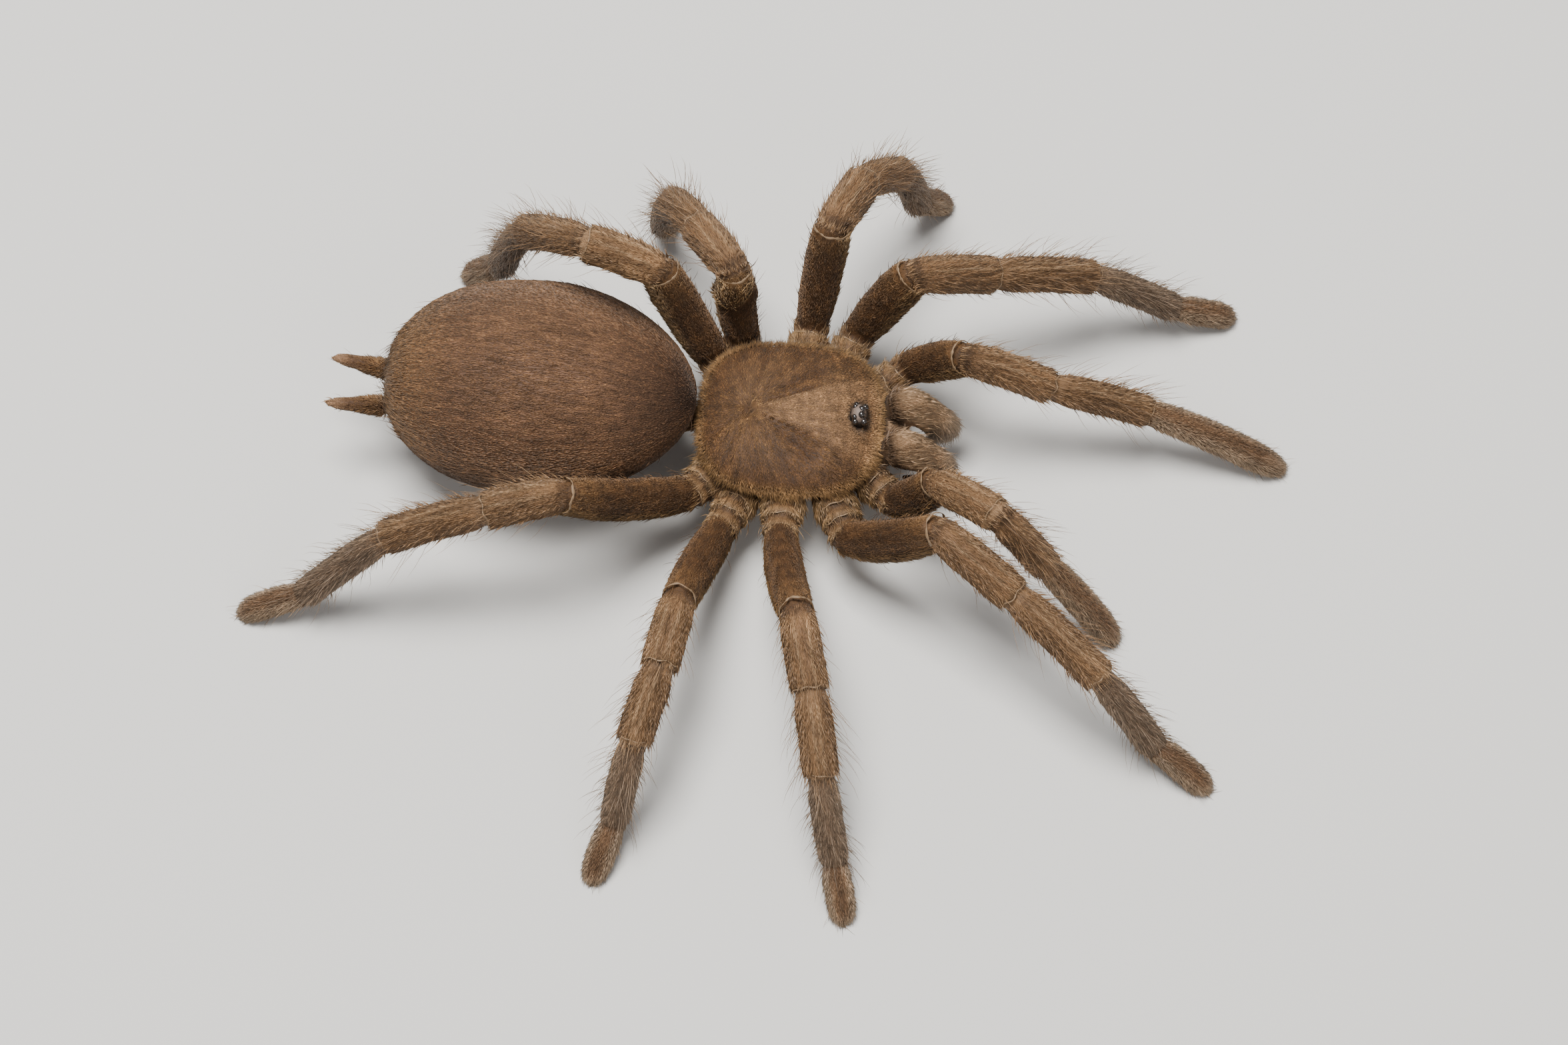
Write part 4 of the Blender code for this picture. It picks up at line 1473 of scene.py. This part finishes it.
def hair_batch(at, points, shape, rows, brightness):
    """Points, triangles, colours and bake places of one batch of hairs."""
    points[:, 1:, 2] = np.maximum(points[:, 1:, 2], HAIR_FLOOR)
    each = len(shape.patch)
    faces = (np.arange(at.count) * each)[:, None, None] + shape.faces[None]
    ground, hair, tip = (markings(at, at.place, tone) for tone in (0, 1, 2))
    colours = [ground * ROOT_SHADE + hair * (1 - ROOT_SHADE)]
    for weight in shape.weights:
        colours.append(hair * (1 - TIP_SHADE * weight) + tip * TIP_SHADE * weight)
    colours = np.stack([*colours, tip], 1) * brightness[:, None, None]
    places = bake_places(at, rows)[:, None] + shape.patch[None]
    return (
        points.reshape(-1, 3), faces.reshape(-1, 3),
        colours.reshape(-1, 3), places.reshape(-1, 2),
    )


def hair_object(name, batches, material):
    """One object from batches of hair."""
    offsets = np.cumsum([0] + [len(batch[0]) for batch in batches])
    batches = [(batch[0], batch[1] + start, *batch[2:]) for batch, start in zip(batches, offsets)]
    points, faces, colours, places = (np.concatenate(some) for some in zip(*batches))
    mesh = bpy.data.meshes.new(name)
    mesh.vertices.add(len(points))
    mesh.vertices.foreach_set("co", (points * MM).astype(np.float32).ravel())
    mesh.loops.add(faces.size)
    mesh.loops.foreach_set("vertex_index", faces.astype(np.int32).ravel())
    mesh.polygons.add(len(faces))
    mesh.polygons.foreach_set("loop_start", np.arange(0, faces.size, 3, dtype=np.int32))
    mesh.update(calc_edges=True)
    mesh.shade_smooth()
    made = bpy.data.objects.new(name, mesh)
    bpy.context.scene.collection.objects.link(made)
    paint(made, "coat", "FLOAT_COLOR", opaque(colours))
    layer = mesh.uv_layers.new(name="OFBake")
    layer.data.foreach_set("uv", places[faces.ravel()].astype(np.float32).ravel())
    mesh.materials.append(material)
    return made


def only(mask, share):
    """A share for each point where a mask holds, and 0 elsewhere."""
    return np.where(mask, share, 0)


def coat_changes(at):
    """How the short hair differs from place to place. Each row has how strongly it holds at each
    root, what it adds to the length and to the width as a share, and what it adds to the rises at
    the root and at the tip and to the stray, in degrees."""
    kind = {name: of_kind(at, name) for name in KINDS}
    along, dorsal, lateral = at.along, at.dorsal, at.lateral
    fringe = only(kind["carapace"], step(*FRINGE, shield_out(along, lateral)))
    front = only(kind["carapace"], step(0.86, 0.97, along / box_half("carapace")[0]))
    coxa_brush = only(kind["coxa"], step(0.25, 0.8, abs(lateral)))
    coxa_brush *= 1 - step(0.62, 0.80, along)
    bend = before_fovea(along - FOVEA_PLACE, lateral)
    slit = only(kind["carapace"], np.exp(-(((bend / 0.35) ** 2 + (lateral / 1.0) ** 2) ** 2)))
    foot_brush = only(kind["tarsus"], step(0.2, 0.9, abs(lateral)) + step(0.80, 0.97, along))
    shin = kind["tibia"] | kind["patella"] | kind["metatarsus"]
    neck = of_kinds(at, JOINTED) | kind["tarsus"]
    return (
        (fringe, 1.15 - 0.3 * front, -0.2, 7, 3, 15),
        (coxa_brush, 1.5, -0.35, 12, 10, 0),
        (slit, -0.75, 0, 0, 0, 0),
        (only(kind["chelicera"], step(0.35, 0.9, along)), 0.7, 0, 0, 0, 0),
        (only(kind["spinneret"], 1 - step(0.15, 0.60, along)), 1.0, 0, 30, 16, 0),
        (np.clip(foot_brush, 0, 1), 0.2, 0, 15, 12, 0),
        (only(shin, step(0.2, -0.7, dorsal)), 0.2, 0, 6, 7, 0),
        (only(kind["femur"], step(0.3, -0.5, dorsal)), 1.1, -0.25, 12, 6, 0),
        (only(neck, 1 - step(0.3, 1.3, along * spans_of(at, 9.0))), -0.35, 0, 0, 0, 0),
        (only(kind["abdomen"], step(0.86, 0.99, along)), 0.5, 0, 14, 0, 0),
    )


def coat_fields(at):
    """Length, width, rises and stray of the short hair at each root."""
    table = np.array([COATS[kind] for kind in KINDS])[at.kind]
    length, width, root, tip, wander = table[:, 1:].T.copy()
    left = (1 - at.along) * spans_of(at, 9.0)
    length *= np.where(of_kinds(at, JOINTED), np.clip(left / length, 0.28, 1), 1)
    length *= np.where(of_kind(at, "abdomen"), 0.60 + 0.45 * step(0.0, 0.5, at.along), 1)
    for share, longer, wider, root_rise, tip_rise, more_stray in coat_changes(at):
        length *= 1 + longer * share
        width *= 1 + wider * share
        root += root_rise * share
        tip += tip_rise * share
        wander += more_stray * share
    return length, width, root, tip, wander


HIDDEN_COXA = 0.42  # share of a coxa that is hidden below the shield
HIDDEN_DENSITY = 0.3


def short_hair(chosen, rows, sizes, rng):
    """The coat's short lying hair on some faces of the skin."""
    below = survey_of(chosen)
    density = np.array([COATS[kind][0] for kind in KINDS])[below.kind]
    density = density * (1 + 0.7 * (1 - step(0.3, 1.2, abs(below.along) * spans_of(below, 99.0))))
    density *= 0.55 + 0.45 * step(-0.75, -0.1, below.dorsal)
    fringe = 0.5 * step(*FRINGE, shield_out(below.along, below.lateral))
    density *= np.where(of_kind(below, "carapace"), 1 + fringe, 1)
    hidden = of_kind(below, "coxa") & (below.along < HIDDEN_COXA)
    density = np.where(hidden, HIDDEN_DENSITY * density, density)
    at = roots_on(chosen, density * sizes.hair_density, rng)
    length, width, root, tip, wander = coat_fields(at)
    tuft = tuft_codes(at, rng)
    tufts = rng.normal(size=(3, TUFTS))
    stray(at, wander * (0.35 * tufts[0][tuft] + 0.7 * rng.normal(size=at.count)))
    length = length * sizes.hair_length * rng.uniform(0.75, 1.25, at.count)
    length *= np.where(rng.random(at.count) < 0.1, 1.4, 1.0)
    root = np.maximum(root * (1 + 0.12 * tufts[1][tuft]) + rng.normal(size=at.count) * 2, 3)
    spread = HAIR_SPREAD[at.kind]
    brightness = np.exp(0.10 * tufts[2][tuft] + spread * rng.normal(size=at.count))
    width = width * rng.uniform(0.8, 1.2, at.count)
    return hair_batch(at, blade_points(at, length, width, root, tip), BLADE, rows, brightness)


# Bristles grow thick round the spinnerets: where this starts and is full along the abdomen, how
# many more to a square millimetre, how much darker, and how much steeper in degrees.
REAR = (0.90, 0.98)
REAR_DENSITY = 6
REAR_DARKNESS = 0.6
REAR_RISE = 14
BRISTLE_STRAY = 14


def bristles(chosen, rows, sizes, rng, long):
    """Standing bristles on some faces of the skin, thickest on the upper side: the many straight
    ones or the few long bent ones."""
    below = survey_of(chosen)
    table = np.array([BRISTLES.get(kind, NO_BRISTLES) for kind in KINDS])
    density = table[below.kind, 0] * (0.35 + 1.1 * step(-0.2, 0.9, below.dorsal))
    density += np.where(of_kind(below, "abdomen"), REAR_DENSITY * step(*REAR, below.along), 0)
    density *= LONG_SHARE if long else 1 - LONG_SHARE
    at = roots_on(chosen, density * sizes.bristle_share, rng)
    table = table[at.kind]
    stray(at, BRISTLE_STRAY * rng.normal(size=at.count))
    column, wider = (2, 1.3) if long else (1, 0.72)
    length = table[:, column] * rng.uniform(0.7, 1.2, at.count) * sizes.hair_length
    root = table[:, 4] + rng.normal(size=at.count) * 9
    tip = table[:, 5] + rng.normal(size=at.count) * 9
    rear = np.where(of_kind(at, "abdomen"), step(*REAR, at.along), 0)
    brightness = rng.uniform(0.8, 1.35, at.count) * (1 - REAR_DARKNESS * rear)
    root = root + REAR_RISE * rear
    build, shape = (strand_points, STRAND) if long else (blade_points, BLADE)
    points = build(at, length, table[:, 3] * wider, root, tip)
    return hair_batch(at, points, shape, rows, brightness)


def coat_piece(name, numbers, sizes, seed, material):
    """One piece of coat over the parts with these numbers."""
    rng = np.random.default_rng(SEED + seed)
    faces = survey_of(slice(None))
    mine = np.isin(faces.part, numbers)
    left = faces.lateral > 0
    mine &= (faces.part != len(plan.parts)) | (left == name.endswith("left"))
    chosen = np.flatnonzero(mine)
    rows = list(numbers)
    batches = [short_hair(chosen, rows, sizes, rng)]
    batches += [bristles(chosen, rows, sizes, rng, long) for long in (False, True)]
    return hair_object(name, batches, material)


def piece_numbers():
    """The parts of each coat piece, by the piece's name."""
    found = {}
    for number, part in enumerate(plan.parts):
        found.setdefault(part.piece, []).append(number)
    abdomen = len(plan.parts)
    found["coat_abdomen_left"].append(abdomen)
    found["coat_abdomen_right"].append(abdomen)
    found["coat_shield"] = [abdomen + 1, abdomen + 2]
    found["coat_chest"].append(abdomen + 3)
    return found


# ---------------------------------------------------------------- operators


class TARANTULA_OT_skin(bpy.types.Operator):
    """Make the one skin that takes the place of the flesh"""

    bl_idname = "tarantula.skin"
    bl_label = "Skin"

    def execute(self, context):
        skin = build_skin(context.scene.tarantula_sizes)
        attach(skin, "root")
        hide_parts(*FLESH)
        return {"FINISHED"}


EYE_SWELL = 1.22  # how much wider than its solid an eye is
EYE_SINK = 0.42  # how far below its solid it lies
MOUND_SQUEEZE = 0.76  # how much narrower than its solid the mound is
MOUND_SHORTENING = 0.92
MOUND_SINK = 0.15
RIM_WIDTH = 0.32
RIM_HEIGHT = 0.12
# Where along its length each kind has lips, and how strong they are.
RIM_PLACES = {"coxa": (0.60, 0.79, 0.96), "femur": (1.0,), "patella": (0.97,), "tibia": (0.97,)}
RIM_SIZES = {"coxa": 0.45, "femur": 1.0, "patella": 0.5, "tibia": 0.4}
RIM_OUT = 0.12  # how far past its place a lip lies


def rim_shell(near, far, share, seed):
    """A thin wavy lip round a length, at this share of it."""
    rng = np.random.default_rng(seed)
    last = len(near.line) - 1
    station = min(int(share * len(near.line)), last)
    turned = 0.35 * (station == last)
    axis = unit(near.tangents[station] * (1 - turned) + far.tangents[0] * turned)
    side, rise = ring_axes(axis)
    centre = near.line[station] + axis * RIM_OUT
    radius = near.radii[max(station - 2, 0)] * near.depth + (0.10 if turned else 0.02)
    turns = circle(96)
    waves, thick = (
        sum(
            rng.uniform(0.2, 0.8) * np.sin(turns * number + rng.uniform(0, FULL_TURN))
            for number in numbers
        )
        for numbers in ((2, 3, 5, 7), (3, 5, 8, 13, 19))
    )
    thick = RIM_SIZES[near.kind] * np.clip(0.75 + 0.35 * thick, 0.2, 1.2)[None, :, None]
    out = np.outer(np.cos(turns), side) / near.depth**2 + np.outer(np.sin(turns), rise)
    lip = centre + out * (radius + 0.03 * waves)[:, None] + np.outer(0.12 * waves, axis)
    sections = circle(10)[:, None, None]
    points = (
        lip[None]
        + np.cos(sections) * thick * RIM_WIDTH / 2 * axis
        + np.sin(sections) * thick * RIM_HEIGHT / 2 * out[None]
    )
    index = np.arange(points[..., 0].size).reshape(points.shape[:2])
    after, above = np.roll(index, -1, 1), np.roll(index, -1, 0)
    faces = np.stack([index, above, np.roll(above, -1, 1), after], -1).reshape(-1, 4).tolist()
    return points.reshape(-1, 3), faces


class TARANTULA_OT_rims(bpy.types.Operator):
    """Make the pale lips of bare skin round the knees"""

    bl_idname = "tarantula.rims"
    bl_label = "Knee rims"

    def execute(self, context):
        shells = []
        for near, far in zip(plan.parts, plan.parts[1:]):
            for share in RIM_PLACES.get(near.kind, ()):
                shells.append(rim_shell(near, far, share, SEED + len(shells)))
        rims = new_object("knee_rims", *join_shells(shells))
        rims.data.shade_smooth()
        rims.data.materials.append(rim_material(context.scene.tarantula_colours.joint_rim))
        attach(rims, "root")
        return {"FINISHED"}


class TARANTULA_OT_eyes(bpy.types.Operator):
    """Make the eight eyes in their sockets on the mound"""

    bl_idname = "tarantula.eyes"
    bl_label = "Eyes"

    def execute(self, context):
        kinds = ("eye_anterior", "eye_posterior")
        nodes = [node for node in sorted(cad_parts) if node.startswith(kinds)]
        made = []
        centre = sum(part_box("eye_mound"), Vector()) / 2
        for node in nodes:
            low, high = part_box(node)
            place = (low + high) / 2
            place.y = centre.y + (place.y - centre.y) * MOUND_SQUEEZE
            place.z -= EYE_SINK * MM
            bpy.ops.object.select_all(action="DESELECT")
            bpy.ops.mesh.primitive_uv_sphere_add(
                segments=32, ring_count=20, radius=(high - low).x / 2 * EYE_SWELL, location=place
            )
            made.append(context.active_object)
        for eye in made:
            eye.select_set(True)
        context.view_layer.objects.active = made[0]
        bpy.ops.object.join()
        bpy.ops.object.transform_apply(location=True, rotation=True, scale=True)
        eyes = context.active_object
        eyes.name = "eyes"
        bpy.ops.object.shade_smooth()
        eyes.data.materials.append(lens_material(context.scene.tarantula_colours.eye))
        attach(eyes, "root")
        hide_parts(*nodes)
        return {"FINISHED"}


class TARANTULA_OT_mound(bpy.types.Operator):
    """Make the dark mound that carries the eyes"""

    bl_idname = "tarantula.mound"
    bl_label = "Eye mound"

    def execute(self, context):
        low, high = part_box("eye_mound")
        size = high - low
        sink = MOUND_SINK * MM
        middle = (low + high) / 2
        bpy.ops.object.select_all(action="DESELECT")
        bpy.ops.mesh.primitive_uv_sphere_add(
            segments=64, ring_count=40, radius=1, location=(middle.x, middle.y, low.z - sink)
        )
        mound = context.active_object
        mound.scale = (size.x / 2 * MOUND_SHORTENING, size.y / 2 * MOUND_SQUEEZE, size.z - sink)
        mound.name = "eye_dome"
        bpy.ops.object.transform_apply(location=True, rotation=True, scale=True)
        bpy.ops.object.shade_smooth()
        mound.data.materials.append(mound_material(middle, size))
        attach(mound, "root")
        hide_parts("eye_mound")
        return {"FINISHED"}


class TARANTULA_OT_fangs(bpy.types.Operator):
    """Make the two folded fangs below the chelicerae"""

    bl_idname = "tarantula.fangs"
    bl_label = "Fangs"

    def execute(self, context):
        material = horn_material(context.scene.tarantula_colours.fang)
        for side in ("left", "right"):
            node = f"fang_{side}"
            fang = new_object(node + "_horn", *solid_shell(node, 0))
            fang.data.shade_smooth()
            fang.data.materials.append(material)
            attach(fang, "root")
            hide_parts(node)
        return {"FINISHED"}


class TARANTULA_OT_coats(bpy.types.Operator):
    """Root the coat on the skin, in one piece for each limb and each part of the body"""

    bl_idname = "tarantula.coats"
    bl_label = "Coat"

    def execute(self, context):
        sizes = context.scene.tarantula_sizes
        material = hair_material()
        for seed, (name, numbers) in enumerate(sorted(piece_numbers().items())):
            coat = coat_piece(name, numbers, sizes, seed, material)
            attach(coat, "root")
        return {"FINISHED"}


class TARANTULA_OT_stage(bpy.types.Operator):
    """Set the plain pale floor, the soft lights and the camera"""

    bl_idname = "tarantula.stage"
    bl_label = "Stage"

    def execute(self, context):
        set_floor(context)
        set_lights()
        set_camera(context)
        return {"FINISHED"}


# ---------------------------------------------------------------- stage

CAMERA_RISE = 65.0  # degrees above the floor
CAMERA_TURN = 6.1  # towards the head, from the spider's right
CAMERA_ROLL = -1.0
CAMERA_DISTANCE = 430.0
CAMERA_LENS = 97.6
AIM_FROM_SHIELD = (0.40, -10.9)  # from the shield's middle, along x and y
AIM_HEIGHT = 8.0
# Place of each light and its side in metres, and its power in watts.
LIGHTS = (
    ("key_light", (-0.08, 0.06, 0.60), 0.26, 7.2),
    ("fill_light", (0.30, -0.45, 0.35), 0.4, 0.9),
)
SKY = (0.9, 0.93, 1.0, 1)
SKY_STRENGTH = 0.28


def set_floor(context):
    """A plain floor that reaches past every picture's edge."""
    bpy.ops.object.select_all(action="DESELECT")
    bpy.ops.mesh.primitive_plane_add(size=6.0, location=(0, 0, 0))
    floor = context.active_object
    floor.name = "floor"
    floor.data.materials.append(floor_material(context.scene.tarantula_colours.floor))


def add_light(name, place, size, power):
    """A soft square light that looks at the spider's middle."""
    bpy.ops.object.light_add(type="AREA", location=place)
    light = bpy.context.active_object
    light.name = name
    light.rotation_euler = (-Vector(place)).to_track_quat("-Z", "Y").to_euler()
    light.data.size = size
    light.data.energy = power


def set_lights():
    """A soft key from above, a weak fill and a cool even sky."""
    bpy.ops.object.select_all(action="DESELECT")
    for light in LIGHTS:
        add_light(*light)
    world = bpy.data.worlds.new("studio")
    world.use_nodes = True
    sky = [("Color", SKY), ("Strength", SKY_STRENGTH)]
    fill_inputs(world.node_tree, world.node_tree.nodes["Background"], sky)
    bpy.context.scene.world = world


def set_camera(context):
    """The camera, high on the spider's right."""
    middle = box_middle("carapace")
    aim = Vector((middle[0] + AIM_FROM_SHIELD[0], middle[1] + AIM_FROM_SHIELD[1], AIM_HEIGHT)) * MM
    turn, rise = math.radians(CAMERA_TURN), math.radians(CAMERA_RISE)
    back = Vector(
        (math.sin(turn) * math.cos(rise), -math.cos(turn) * math.cos(rise), math.sin(rise))
    )
    place = aim + back * CAMERA_DISTANCE * MM
    bpy.ops.object.camera_add(location=place)
    camera = context.active_object
    camera.name = "camera"
    facing = (-back).to_track_quat("-Z", "Y").to_matrix().to_4x4()
    roll = Matrix.Rotation(math.radians(CAMERA_ROLL), 4, "Z")
    camera.matrix_world = Matrix.Translation(place) @ facing @ roll
    camera.data.sensor_width = 36.0
    camera.data.lens = CAMERA_LENS
    camera.data.clip_start = 0.01
    camera.data.clip_end = 20.0
    context.scene.camera = camera


# ---------------------------------------------------------------- panel and main

STEPS = (
    TARANTULA_OT_skin,
    TARANTULA_OT_rims,
    TARANTULA_OT_mound,
    TARANTULA_OT_eyes,
    TARANTULA_OT_fangs,
    TARANTULA_OT_coats,
    TARANTULA_OT_stage,
)


class TARANTULA_PT_looks(bpy.types.Panel):
    """Buttons for each step, in order"""

    bl_label = "Tarantula looks"
    bl_idname = "TARANTULA_PT_looks"
    bl_space_type = "VIEW_3D"
    bl_region_type = "UI"
    bl_category = "Tarantula"

    def draw(self, context):
        for settings in (context.scene.tarantula_sizes, context.scene.tarantula_colours):
            for name in settings.bl_rna.properties.keys():
                if name not in ("rna_type", "name"):
                    self.layout.prop(settings, name)
        for operator in STEPS:
            self.layout.operator(operator.bl_idname)


CLASSES = (CoatSizes, CoatColours, *STEPS, TARANTULA_PT_looks)


def register():
    """Registers the settings, the operators and the panel."""
    for each in CLASSES:
        bpy.utils.register_class(each)
    bpy.types.Scene.tarantula_sizes = bpy.props.PointerProperty(type=CoatSizes)
    bpy.types.Scene.tarantula_colours = bpy.props.PointerProperty(type=CoatColours)


def unregister():
    """Takes back what register did."""
    del bpy.types.Scene.tarantula_colours
    del bpy.types.Scene.tarantula_sizes
    for each in reversed(CLASSES):
        bpy.utils.unregister_class(each)


def main():
    """Makes every piece and the stage."""
    register()
    bpy.ops.tarantula.skin()
    bpy.ops.tarantula.rims()
    bpy.ops.tarantula.mound()
    bpy.ops.tarantula.eyes()
    bpy.ops.tarantula.fangs()
    bpy.ops.tarantula.coats()
    bpy.ops.tarantula.stage()


if __name__ == "__main__":
    main()
